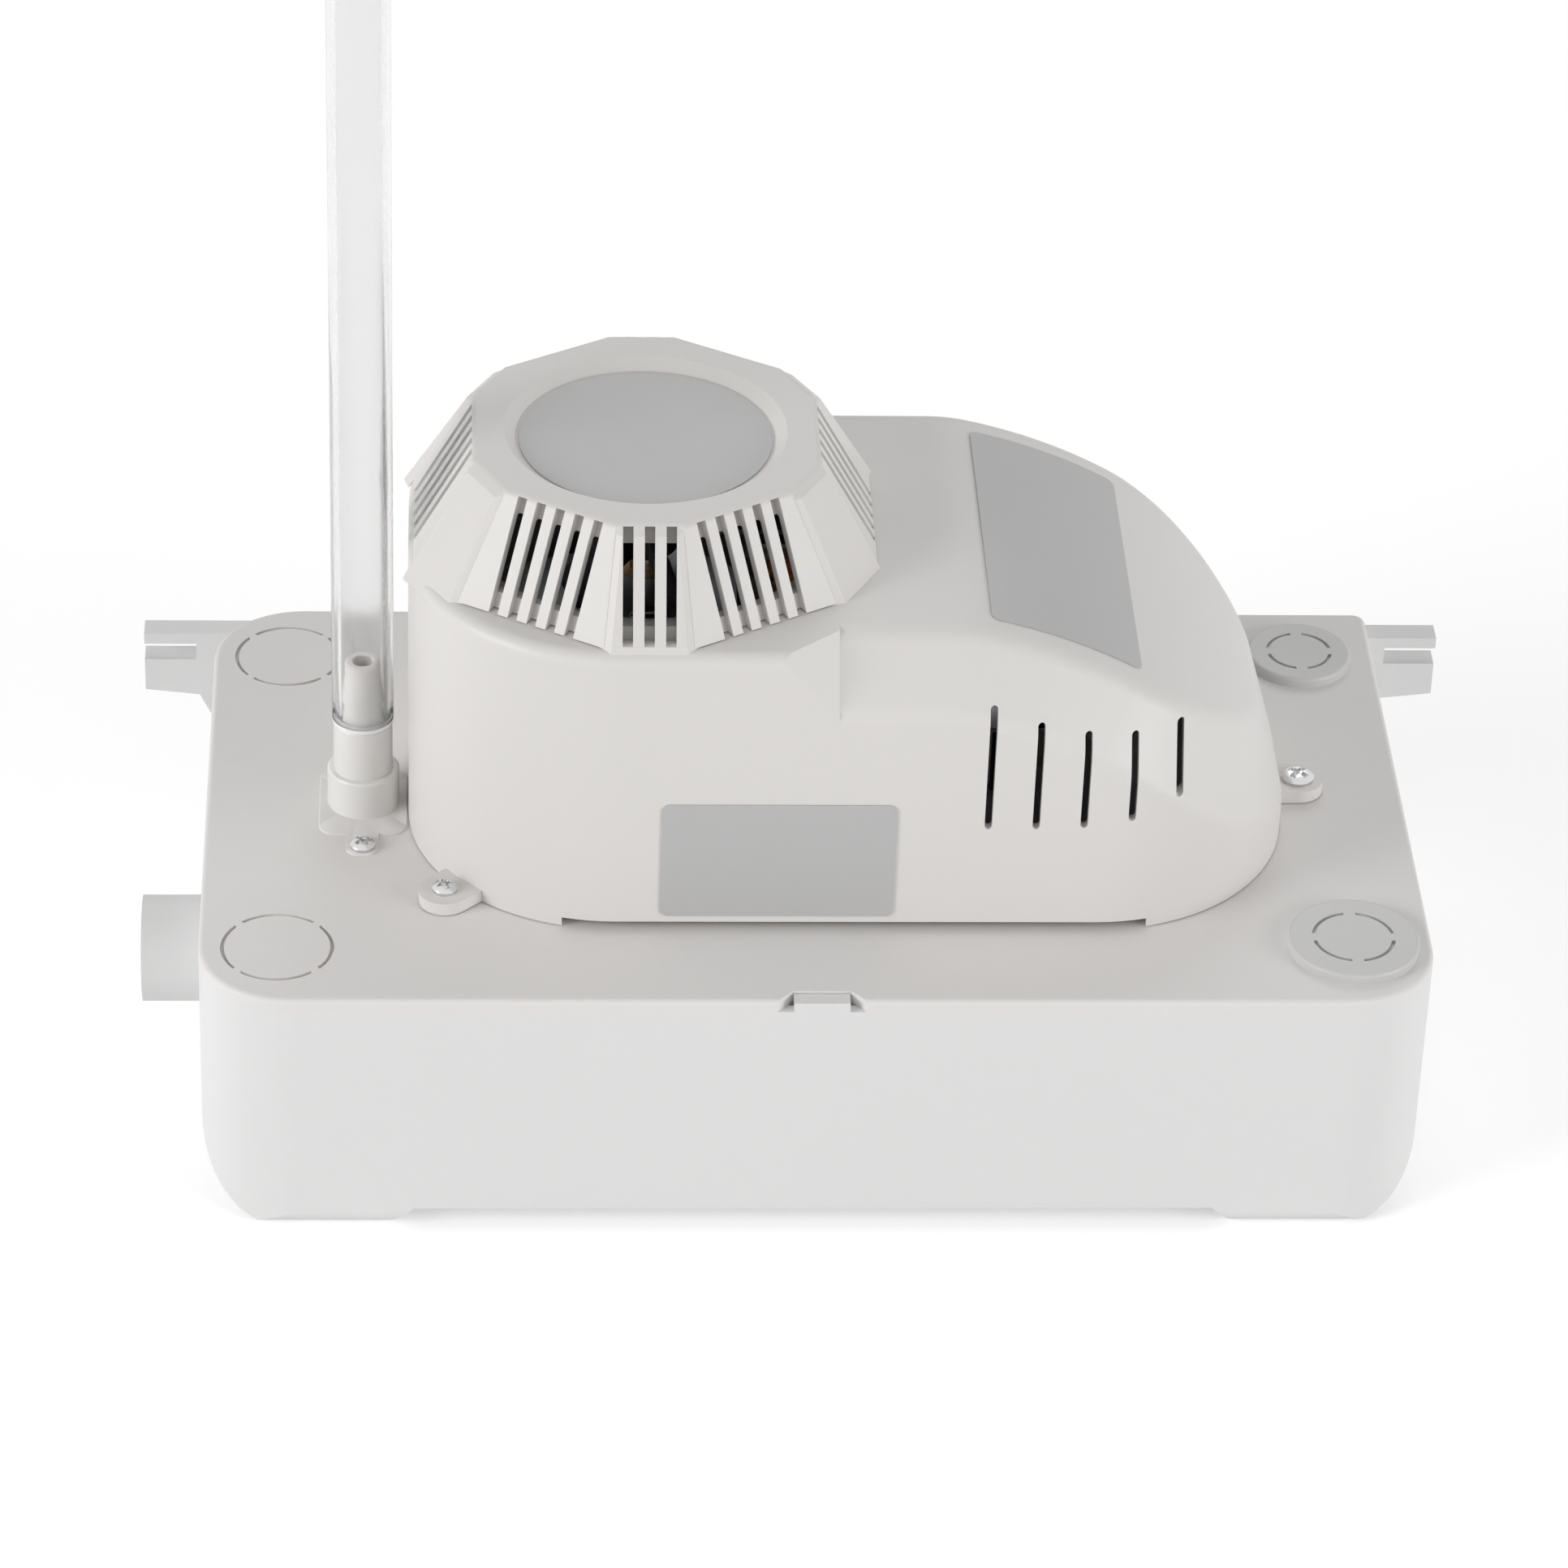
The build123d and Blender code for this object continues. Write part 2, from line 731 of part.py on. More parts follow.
def make_cap():
    outer = cap_frustum(cap_foot_radius, cap_top_radius, cap_base, cap_top)
    outer = fillet(outer.faces().sort_by(Axis.Z)[-1].edges(), cap_edge_radius)
    slope = (cap_foot_radius - cap_top_radius) / cap_height
    inner_foot = cap_foot_radius - cap_wall * cap_wall_slant
    inner_high = cap_top - cap_roof_thickness
    inner_top = inner_foot - slope * (inner_high - cap_base)
    cap = outer - cap_frustum(inner_foot + slope, inner_top, cap_base - 1, inner_high)
    dish = cone(cap_x, cover_centre_y, cap_top - cap_dish_depth, cap_top, cap_dish_floor_radius, cap_dish_radius)
    cap -= dish
    wide_cos = math.cos(math.radians(cap_wide_half_angle))
    narrow_cos = math.cos(math.radians(30 - cap_wide_half_angle))
    for i in range(6):
        for cutter in cap_slots(60 * i, cap_wide_slots, cap_top_radius * wide_cos, cap_foot_radius * wide_cos):
            cap -= cutter
        narrow = cap_slots(60 * i + 30, cap_narrow_slots, cap_top_radius * narrow_cos,
                           cap_foot_radius * narrow_cos)
        for cutter in narrow:
            cap -= cutter
    foot_ring = cap_frustum(inner_foot, inner_foot - slope * cap_hoop, cap_base, cap_base + cap_hoop)
    foot_ring -= cap_frustum(inner_foot - cap_wall, inner_foot - cap_wall - slope * cap_hoop,
                             cap_base, cap_base + cap_hoop)
    return cap + foot_ring


def make_cap_label():
    floor = cap_top - cap_dish_depth
    return rod(cap_x, cover_centre_y, floor, floor + label_thickness, cap_label_radius)


def make_front_label():
    face = Plane.XZ * (Pos(cover_left + front_label_reach, deck + front_label_rise) * RectangleRounded(
        front_label_length, front_label_height, label_corner_radius))
    return Pos(0, cover_front, 0) * extrude(face, label_thickness)


# A sticker that follows the falling roof: the layer just above the roof, cut to the sticker's outline.
def make_roof_label():
    middle_x = cover_left + (roof_label_start + roof_label_end) / 2
    outline = Pos(middle_x, cover_centre_y, roof_end_z) * extrude(
        RectangleRounded(roof_label_end - roof_label_start, roof_label_width, label_corner_radius),
        cover_top - roof_end_z + 5)
    raised = Pos(0, 0, label_seat + label_thickness) * cover_form(0, cover_base)
    under = Pos(0, 0, label_seat) * cover_form(0, cover_base - 1)
    return (raised - under) & outline


# Plug with a round head, a hollow spigot in its lid hole and a ring of four grooves on top.
def make_plug(y, radius):
    top = deck + plug_head_thickness
    head = rod(plug_x, y, deck, top, radius)
    head = fillet(head.edges().sort_by(Axis.Z)[-1], plug_edge_radius)
    spigot_radius = radius - plug_spigot_inset - plug_clearance
    plug = head + pipe(plug_x, y, deck - plug_spigot_length, deck, spigot_radius, spigot_radius - plug_spigot_wall)
    ring_radius = radius * plug_ring_share
    ring = pipe(plug_x, y, top - plug_ring_depth, top + 1, ring_radius + plug_ring_width / 2,
                ring_radius - plug_ring_width / 2)
    web = Pos(ring_radius, 0, top) * Box(groove_web_size, plug_ring_width * 3, groove_web_size)
    for piece in around(plug_x, y, plug_webs, web):
        ring -= piece
    return plug - ring


# Pan head screw with a cross recess, standing with the underside of its head at seat.
def pan_screw(x, y, seat, length):
    head = rod(x, y, seat, seat + screw_head_height, screw_head_radius)
    head = fillet(head.edges().sort_by(Axis.Z)[-1], screw_head_round)
    screw = head + rod(x, y, seat - length, seat, screw_shank_radius)
    low = seat + screw_head_height - screw_recess_depth
    for angle in (45, 135):
        bar = Pos(x, y, low) * Rot(0, 0, angle) * Box(screw_recess_length, screw_recess_width, 3, align=MIN)
        screw -= bar
    return screw


def make_cover_screws():
    seat = cover_base + lug_height
    return Compound([pan_screw(x, y, seat, screw_length) for x, y in cover_lug_places()])


# Check valve: tail in the lid hole, flange on the deck, collar, neck and a two-step hose barb.
def make_valve_body():
    x, y = valve_x, valve_y
    flange_top = deck + valve_flange_thickness
    body = rod(x, y, deck - valve_tail_depth, deck, valve_tail_radius)
    body += rod(x, y, deck, flange_top, valve_flange_radius)
    body += rod(x, y, flange_top, valve_collar_top, valve_collar_radius)
    body += rod(x, y, valve_collar_top, valve_neck_top, valve_neck_radius)
    first = valve_neck_top + barb_step
    second = first + barb_step
    body += cone(x, y, valve_neck_top, first, barb_radius, barb_root_radius)
    body += cone(x, y, first, second, barb_radius, barb_tip_radius)
    body += rod(x, y, second, second + barb_tip_length, barb_tip_radius)
    seat = valve_seat_z
    body -= rod(x, y, deck - valve_tail_depth - 1, seat, valve_bore_radius)
    body -= rod(x, y, seat, seat + valve_chamber_height, valve_chamber_radius)
    body -= rod(x, y, seat, second + barb_tip_length + 1, valve_bore_radius)
    socket_top = deck - valve_tail_depth + tube_socket_depth
    body -= rod(x, y, deck - valve_tail_depth - 1, socket_top, tube_outer_radius + touch_gap)
    groove_low = tank_height + seal_lift
    groove = pipe(x, y, groove_low, groove_low + 2 * (seal_section_radius + touch_gap),
                  valve_tail_radius + 1, valve_tail_radius - seal_section_radius)
    return body - groove


def make_check_ball():
    lift = math.sqrt(ball_radius ** 2 - valve_bore_radius ** 2)
    return Pos(valve_x, valve_y, valve_seat_z + lift + ball_clearance) * Sphere(ball_radius)


def make_valve_seal():
    middle = tank_height + seal_lift + touch_gap + seal_section_radius
    return Pos(valve_x, valve_y, middle) * Torus(valve_tail_radius + touch_gap / 2, seal_section_radius - touch_gap)


# Retainer: a thin plate round the valve's flange, with a tab at the front for its screw.
def make_retainer():
    low = deck
    mid_y = (retainer_front + retainer_rear) / 2
    plate = Pos(valve_x, mid_y) * RectangleRounded(retainer_length, retainer_rear - retainer_front,
                                                   retainer_corner_radius)
    tab_rear = retainer_front + retainer_tab_overlap
    tab = Pos(valve_x, (retainer_tab_front + tab_rear) / 2) * RectangleRounded(
        retainer_tab_width, tab_rear - retainer_tab_front, retainer_tab_radius)
    top = deck + valve_flange_thickness + retainer_thickness
    body = Pos(0, 0, low) * extrude(plate + tab, top - low)
    body -= rod(valve_x, valve_y, low - 1, deck + valve_flange_thickness, valve_flange_radius + touch_gap)
    body -= rod(valve_x, valve_y, low, top + 1, valve_collar_radius + touch_gap)
    return body - rod(valve_x, retainer_screw_y, low - 1, top + 1, screw_shank_radius + screw_clearance)


def make_retainer_screw():
    seat = deck + valve_flange_thickness + retainer_thickness
    return pan_screw(valve_x, retainer_screw_y, seat, retainer_screw_length)


def make_hose():
    return pipe(valve_x, valve_y, valve_neck_top, hose_top, hose_outer_radius, hose_inner_radius)


# Stator: stack of plates with a round rotor bore and a window beside the leg that carries the coil.
def window_centre_x():
    return motor_x + core_reach_right - core_leg - core_window_length / 2


def make_stator_core():
    left = motor_x - core_reach_left
    right = motor_x + core_reach_right
    outline = Pos((left + right) / 2, motor_y) * RectangleRounded(right - left, core_width, core_corner_radius)
    window = Pos(window_centre_x(), motor_y) * RectangleRounded(core_window_length, core_window_width,
                                                                    core_window_radius)
    core = Pos(0, 0, core_bottom) * extrude(outline - window, core_thickness)
    core -= rod(motor_x, motor_y, core_bottom - 1, core_top + 1, core_bore_radius)
    for x, y in motor_post_places():
        core -= rod(x, y, core_bottom - 1, core_top + 1, motor_screw_radius + screw_clearance)
    return core


def leg_x():
    return motor_x + core_reach_right - core_leg / 2


def sleeve(x_half, z_half, y_half, thickness):
    middle = Pos(leg_x(), motor_y, core_bottom + core_thickness / 2)
    outer = Box(2 * (x_half + thickness), 2 * y_half, 2 * (z_half + thickness))
    return middle * (outer - Box(2 * x_half, 2 * y_half + 2, 2 * z_half))


def make_bobbin():
    x_half = core_leg / 2 + bobbin_clearance
    z_half = core_thickness / 2 + bobbin_clearance
    bobbin = sleeve(x_half, z_half, coil_width / 2, bobbin_wall)
    flange = sleeve(x_half, z_half, bobbin_flange / 2, bobbin_wall + coil_overhang)
    offset = coil_width / 2 - bobbin_flange / 2
    return bobbin + Pos(0, offset, 0) * flange + Pos(0, -offset, 0) * flange


def make_winding():
    x_half = core_leg / 2 + bobbin_clearance + bobbin_wall + touch_gap
    z_half = core_thickness / 2 + bobbin_clearance + bobbin_wall + touch_gap
    y_half = coil_width / 2 - bobbin_flange - touch_gap
    winding = sleeve(x_half, z_half, y_half, coil_overhang - winding_rim)
    long_edges = winding.edges().filter_by(Axis.Y)
    outer = [e for e in long_edges if abs(e.center().X - leg_x()) > x_half + 1]
    return fillet(outer, winding_corner_radius)


# Bearing bracket: a bar across the stator with a bearing cup in the middle and a turned foot each end.
def bearing_bracket(core_face, side):
    inner = core_face + side * bracket_gap
    low, high = sorted((inner, inner + side * bracket_thickness))
    reach = motor_screw_offset + motor_post_radius
    bar = block(motor_x - bracket_half_width, motor_x + bracket_half_width, motor_y - reach, motor_y + reach,
                low, high)
    bracket = bar
    foot_low, foot_high = sorted((core_face, inner))
    for x, y in motor_post_places():
        bracket += rod(x, y, foot_low, foot_high, motor_post_radius)
    cup_low, cup_high = sorted((inner, inner - side * (bearing_height - bracket_thickness)))
    bracket += rod(motor_x, motor_y, cup_low, cup_high, bearing_radius + bracket_thickness)
    span = (min(low, cup_low) - 1, max(high, cup_high) + 1)
    bracket -= rod(motor_x, motor_y, span[0], span[1], bearing_radius)
    for x, y in motor_post_places():
        bracket -= rod(x, y, foot_low - bracket_thickness - 1, foot_high + bracket_thickness + 1,
                       motor_screw_radius + screw_clearance)
    return bracket


def bearing_span(core_face, side):
    outer = core_face + side * (bracket_gap + bracket_thickness)
    return sorted((outer, outer - side * bearing_height))


def make_bearings():
    bushes = []
    for core_face, side in ((core_bottom, -1), (core_top, 1)):
        low, high = bearing_span(core_face, side)
        bushes.append(pipe(motor_x, motor_y, low, high, bearing_radius, shaft_radius + running_gap))
    return Compound(bushes)


def make_motor_screws():
    seat = core_top + bracket_gap + bracket_thickness
    screws = []
    for x, y in motor_post_places():
        screw = rod(x, y, deck + motor_screw_bottom, seat, motor_screw_radius)
        screw += rod(x, y, seat, seat + motor_screw_head, motor_screw_head_radius)
        top = seat + motor_screw_head
        reach = motor_screw_head_radius + 1
        half = motor_screw_slot / 2
        screw -= block(x - reach, x + reach, y - half, y + half, top - motor_screw_slot, top + 1)
        screws.append(screw)
    return Compound(screws)


def make_rotor():
    rotor = rod(motor_x, motor_y, core_bottom, core_top, rotor_radius)
    rotor -= rod(motor_x, motor_y, core_bottom - 1, core_top + 1, shaft_radius)
    return rotor


def make_shaft():
    return rod(motor_x, motor_y, impeller_base(), shaft_top, shaft_radius)


# Fan: hub on the shaft with pitched blades.
def make_fan():
    hub = pipe(motor_x, motor_y, fan_bottom, fan_bottom + fan_hub_height, fan_hub_radius, shaft_radius)
    span = fan_radius - fan_hub_radius + blade_root
    blade = Pos(fan_hub_radius - blade_root + span / 2, 0, fan_bottom + fan_hub_height / 2)
    blade = blade * Rot(fan_blade_pitch, 0, 0) * Box(span, fan_blade_thickness, fan_blade_height)
    fan = hub
    for piece in around(motor_x, motor_y, fan_blades, blade):
        fan += piece
    return fan


# Heights in the pump end, worked up from the tank floor.
def strainer_base():
    return tank_floor + strainer_floor_gap


def plate_base():
    return strainer_base() + strainer_height


def volute_base():
    return plate_base() + volute_plate_thickness


def volute_high():
    return volute_base() + volute_height


def impeller_base():
    return volute_base() + impeller_gap


def outlet_z():
    return volute_base() + volute_height / 2


# The outlet leaves the volute at a tangent and points at the check valve.
def outlet_place():
    dx = motor_x - valve_x
    dy = motor_y - valve_y
    distance = math.hypot(dx, dy)
    angle = math.degrees(math.atan2(dy, dx) - math.asin(outlet_offset / distance))
    reach = math.sqrt(distance ** 2 - outlet_offset ** 2)
    mouth = reach - math.sqrt(volute_outer_radius ** 2 - outlet_offset ** 2) - outlet_length
    return Pos(valve_x, valve_y, outlet_z()) * Rot(0, 0, angle), reach, mouth


def flange_screw_places():
    radius = column_flange_radius - flange_screw_inset
    angles = [math.radians(90 + 120 * i) for i in range(3)]
    return [(motor_x + radius * math.cos(a), motor_y + radius * math.sin(a)) for a in angles]


def volute_screw_places():
    radius = volute_outer_radius + volute_boss_radius - volute_wall
    angles = [math.radians(60 + 120 * i) for i in range(3)]
    return [(motor_x + radius * math.cos(a), motor_y + radius * math.sin(a)) for a in angles]


# Pump housing: lid flange, hollow column with drain slots, and the volute with its outlet.
def make_pump_housing():
    x, y = motor_x, motor_y
    place, reach, mouth = outlet_place()
    low = volute_base()
    high = volute_high()
    housing = rod(x, y, low, high, volute_outer_radius)
    outlet = place * Pos(mouth, 0, 0) * Rot(0, 90, 0)
    housing += outlet * Cylinder(outlet_radius, reach - mouth - outlet_offset / 2, align=MIN)
    for sx, sy in volute_screw_places():
        housing += rod(sx, sy, low, high, volute_boss_radius)
    housing -= rod(x, y, low - 1, high - volute_wall, volute_outer_radius - volute_wall)
    housing -= outlet * Pos(0, 0, -1) * Cylinder(outlet_bore_radius, reach - mouth, align=MIN)
    housing -= outlet * Pos(0, 0, -1) * Cylinder(tube_outer_radius + touch_gap, tube_socket_depth + 1, align=MIN)
    housing += rod(x, y, high, tank_height, column_outer_radius)
    housing += rod(x, y, tank_height - column_flange_thickness, tank_height, column_flange_radius)
    housing -= rod(x, y, high, tank_height + 1, column_inner_radius)
    housing -= rod(x, y, high - volute_wall - 1, high + 1, shaft_radius + shaft_clearance)
    drain_low = high + drain_slot_start
    reach = column_outer_radius + 1
    housing -= block(x - reach, x + reach, y - drain_slot_width / 2, y + drain_slot_width / 2,
                     drain_low, drain_low + drain_slot_height)
    for sx, sy in flange_screw_places():
        housing -= rod(sx, sy, tank_height - column_flange_thickness - 1, tank_height + 1,
                       screw_shank_radius + screw_clearance)
    for sx, sy in volute_screw_places():
        housing -= rod(sx, sy, low - 1, high - volute_wall, screw_shank_radius + screw_clearance)
    return housing


def make_volute_plate():
    low = plate_base()
    high = volute_base()
    plate = rod(motor_x, motor_y, low, high, volute_outer_radius)
    for sx, sy in volute_screw_places():
        plate += rod(sx, sy, low, high, volute_boss_radius)
        plate -= rod(sx, sy, low - 1, high + 1, screw_shank_radius + screw_clearance)
    return plate - rod(motor_x, motor_y, low - 1, high + 1, eye_radius)


# Strainer: a low round basket, its wall open in slots all round.
def make_strainer():
    low = strainer_base()
    high = plate_base()
    basket = rod(motor_x, motor_y, low, high, strainer_radius)
    basket -= rod(motor_x, motor_y, low + strainer_wall, high + 1, strainer_radius - strainer_wall)
    slot = Pos(strainer_radius, 0, low + strainer_wall) * Box(
        3 * strainer_wall, strainer_slot_width, strainer_height - 2 * strainer_wall, align=MIN)
    for piece in around(motor_x, motor_y, strainer_slots, slot):
        basket -= piece
    return basket


# Impeller: hub and disc above swept-back blades.
def make_impeller():
    low = impeller_base()
    disc_low = low + impeller_blade_height
    disc_high = disc_low + impeller_disc_thickness
    wheel = rod(motor_x, motor_y, disc_low, disc_high, impeller_radius)
    wheel += rod(motor_x, motor_y, low, disc_high + 1, impeller_hub_radius)
    blade_length = impeller_radius - impeller_hub_radius + blade_root
    blade = Pos(impeller_hub_radius - blade_root, 0, low) * Rot(0, 0, -impeller_blade_sweep)
    blade = blade * Pos(blade_length / 2, 0, 0) * Box(blade_length, impeller_blade_thickness, impeller_blade_height, align=MIN)
    for piece in around(motor_x, motor_y, impeller_blades, blade):
        wheel += piece
    return wheel - rod(motor_x, motor_y, low - 1, disc_high + 2, shaft_radius)


def upward_screw(x, y, seat, length):
    return Pos(0, 0, 2 * seat) * mirror(pan_screw(x, y, seat, length), Plane.XY)


def make_pump_screws():
    flange_seat = tank_height - column_flange_thickness
    flange = [upward_screw(x, y, flange_seat, flange_screw_length) for x, y in flange_screw_places()]
    volute = [upward_screw(x, y, plate_base(), volute_screw_length) for x, y in volute_screw_places()]
    return Compound(flange + volute)


# Discharge tube: from the outlet's socket, level to below the valve, then round a bend and up.
def make_discharge_tube():
    place, reach, mouth = outlet_place()
    rise = deck - valve_tail_depth + tube_socket_depth - touch_gap - outlet_z()
    start = mouth + tube_socket_depth - touch_gap
    level = Line((start, 0, 0), (tube_bend_radius, 0, 0))
    bend = TangentArc((tube_bend_radius, 0, 0), (0, 0, tube_bend_radius), tangent=(-1, 0, 0))
    upright = Line((0, 0, tube_bend_radius), (0, 0, rise))
    path = Wire([level, bend, upright])
    face = Plane((start, 0, 0), z_dir=(-1, 0, 0)) * (Circle(tube_outer_radius) - Circle(tube_inner_radius))
    return place * sweep(face, path)


# Float arm in the side view: a hub on the pin, a strut down to a flat pad on the float.
def arm_slope():
    pad_left = float_x - float_pad_length / 2
    pad_z = float_z + float_height / 2 + float_arm_thickness / 2
    return (pad_z - pivot_z) / (pad_left - pivot_x)


def make_float_arm():
    pad_left = float_x - float_pad_length / 2
    pad_right = float_x + float_pad_length / 2
    low = float_z + float_height / 2
    high = low + float_arm_thickness
    half = float_arm_thickness / 2 * math.sqrt(1 + arm_slope() ** 2)
    side = Polyline((pivot_x, pivot_z + half), (pad_left, high), (pad_right, high), (pad_right, low),
                    (pad_left, low), (pivot_x, pivot_z - half), close=True)
    arm = extrude(Plane.XZ * make_face(side), float_arm_width / 2, both=True)
    hub = Plane.XZ * (Pos(pivot_x, pivot_z) * Circle(arm_hub_radius))
    arm += extrude(hub, float_arm_width / 2, both=True)
    bore = Plane.XZ * (Pos(pivot_x, pivot_z) * Circle(pivot_radius + running_gap))
    arm -= extrude(bore, float_arm_width, both=True)
    return Pos(0, pivot_y, 0) * arm


def make_float():
    body = Pos(float_x, pivot_y, float_z - float_height / 2) * extrude(
        RectangleRounded(float_length, float_width, float_corner_radius), float_height)
    rims = body.faces().sort_by(Axis.Z)
    return fillet(rims[0].edges() + rims[-1].edges(), float_edge_radius)


def make_float_bracket():
    x_low = pivot_x - float_bracket_length / 2
    x_high = pivot_x + float_bracket_length / 2
    y_low = pivot_y - float_bracket_width / 2
    y_high = pivot_y + float_bracket_width / 2
    thick = float_bracket_thickness
    low = pivot_z - float_bracket_length / 2
    bracket = block(x_low - thick, x_high, y_low - bracket_wing, y_high + bracket_wing,
                    tank_height - thick, tank_height)
    bracket += block(x_low, x_high, y_low, y_low + thick, low, tank_height)
    bracket += block(x_low, x_high, y_high - thick, y_high, low, tank_height)
    bore = Plane.XZ * (Pos(pivot_x, pivot_z) * Circle(pivot_radius + seat_gap))
    bracket -= Pos(0, pivot_y, 0) * extrude(bore, float_bracket_width, both=True)
    for x, y in float_bracket_screw_places():
        bracket -= rod(x, y, low, tank_height + 1, screw_shank_radius + screw_clearance)
    return bracket


def float_bracket_screw_places():
    offset = float_bracket_width / 2 + bracket_wing / 2
    x = pivot_x - bracket_screw_shift
    return [(x, pivot_y - offset), (x, pivot_y + offset)]


def pin_along_y(x, z, y_low, y_high, radius):
    circle = Plane.XZ * (Pos(x, z) * Circle(radius))
    return Pos(0, y_high, 0) * extrude(circle, y_high - y_low)


def make_float_pin():
    pin = pin_along_y(pivot_x, pivot_z, pivot_y - pivot_length / 2, pivot_y + pivot_length / 2, pivot_radius)
    head = pin_along_y(pivot_x, pivot_z, pivot_y + pivot_length / 2,
                       pivot_y + pivot_length / 2 + pin_head_length, pivot_radius + pin_head_rim)
    return pin + head


# Rod that carries the float arm's movement up through the lid to the switch lever.
def rod_foot_z():
    half = float_arm_thickness / 2 * math.sqrt(1 + arm_slope() ** 2)
    near = rod_x - rod_foot_radius - pivot_x
    return pivot_z + half + arm_slope() * near + rod_gap


def make_float_rod():
    foot = rod_foot_z()
    shank = rod(rod_x, pivot_y, foot, lever_z - lever_thickness / 2 - lever_gap, rod_radius)
    return shank + rod(rod_x, pivot_y, foot, foot + rod_foot_height, rod_foot_radius)


def make_switch_lever():
    y_low = pivot_y - lever_width / 2
    y_high = pivot_y + lever_width / 2
    lever = block(lever_pivot_x - lever_length, lever_pivot_x, y_low, y_high,
                  lever_z - lever_thickness / 2, lever_z + lever_thickness / 2)
    lever += pin_along_y(lever_pivot_x, lever_z, y_low, y_high, lever_hub_radius)
    return lever - pin_along_y(lever_pivot_x, lever_z, y_low - 1, y_high + 1, lever_pin_radius + running_gap)


def bracket_plate_y():
    return pivot_y + lever_width / 2 + lever_side_gap


def make_lever_pin():
    y_low = pivot_y - lever_width / 2 - lever_pin_tail
    return pin_along_y(lever_pivot_x, lever_z, y_low, bracket_plate_y() + switch_bracket_thickness,
                       lever_pin_radius)


def switch_base():
    return lever_z + lever_thickness / 2 + switch_gap + switch_button_height


def switch_x():
    return lever_pivot_x - lever_hub_radius - switch_length / 2 + switch_hub_overlap


# Snap switch number i from the bracket plate: case, button below and three contact blades on top.
def make_switch(i):
    y_high = bracket_plate_y() - i * (switch_thickness + touch_gap)
    y_low = y_high - switch_thickness
    low = switch_base()
    left = switch_x() - switch_length / 2
    case = block(left, left + switch_length, y_low, y_high, low, low + switch_height)
    middle = (y_low + y_high) / 2
    case += rod(left + switch_button_inset, middle, low - switch_button_height, low, switch_button_radius)
    for k in range(switch_blades):
        x = left + switch_blade_inset + k * switch_blade_pitch
        case += block(x - switch_blade_thickness / 2, x + switch_blade_thickness / 2,
                      middle - switch_blade_width / 2, middle + switch_blade_width / 2,
                      low + switch_height, low + switch_height + switch_blade_height)
    for x, z in switch_screw_places():
        case -= pin_along_y(x, z, y_low - 1, y_high + 1, switch_screw_radius + screw_clearance)
    return case


def switch_screw_places():
    z = switch_base() + switch_height * switch_screw_share
    offset = switch_length / 2 - switch_screw_inset
    return [(switch_x() - offset, z), (switch_x() + offset, z)]


def make_switch_screws():
    screws = []
    y_low = bracket_plate_y() - 2 * switch_thickness - touch_gap
    y_high = bracket_plate_y() + switch_bracket_thickness + switch_nut_length
    for x, z in switch_screw_places():
        screw = pin_along_y(x, z, y_low, y_high, switch_screw_radius)
        head = pin_along_y(x, z, y_low - switch_screw_head, y_low, switch_screw_radius + switch_screw_head_rim)
        screws.append(screw + head)
    return Compound(screws)


def make_switch_bracket():
    y_low = bracket_plate_y()
    y_high = y_low + switch_bracket_thickness
    left = switch_x() - switch_length / 2
    right = lever_pivot_x + switch_bracket_margin
    bracket = block(left, right, y_low, y_high, deck, switch_base() + switch_height)
    bracket += block(left, right, y_low, y_low + switch_bracket_foot, deck, deck + switch_bracket_thickness)
    bracket -= pin_along_y(lever_pivot_x, lever_z, y_low - 1, y_high + 1, lever_pin_radius + seat_gap)
    for x, z in switch_screw_places():
        bracket -= pin_along_y(x, z, y_low - 1, y_high + 1, switch_screw_radius + screw_clearance)
    for x, y in switch_bracket_screw_places():
        bracket -= rod(x, y, deck - 1, deck + switch_bracket_thickness + 1, screw_shank_radius + screw_clearance)
    return bracket


def switch_bracket_screw_places():
    y = bracket_plate_y() + switch_bracket_foot - screw_head_radius - switch_foot_screw_gap
    return [(switch_x() - switch_foot_screw_left, y), (switch_x() + switch_foot_screw_right, y)]


def make_bracket_screws():
    seat = deck + switch_bracket_thickness
    top = [pan_screw(x, y, seat, bracket_screw_length) for x, y in switch_bracket_screw_places()]
    below = tank_height - float_bracket_thickness
    low = [upward_screw(x, y, below, bracket_screw_length) for x, y in float_bracket_screw_places()]
    return Compound(top + low)


def make_cord_gland():
    outer = pin_along_y(gland_x, gland_z, cover_rear, cover_rear + gland_flange_thickness, gland_flange_radius)
    body = pin_along_y(gland_x, gland_z, cover_rear - cover_wall, cover_rear, gland_radius - touch_gap)
    inner = pin_along_y(gland_x, gland_z, cover_rear - cover_wall - gland_flange_thickness,
                        cover_rear - cover_wall, gland_flange_radius)
    gland = outer + body + inner
    reach = cover_wall + gland_flange_thickness + 1
    return gland - pin_along_y(gland_x, gland_z, cover_rear - reach, cover_rear + reach, gland_bore_radius)


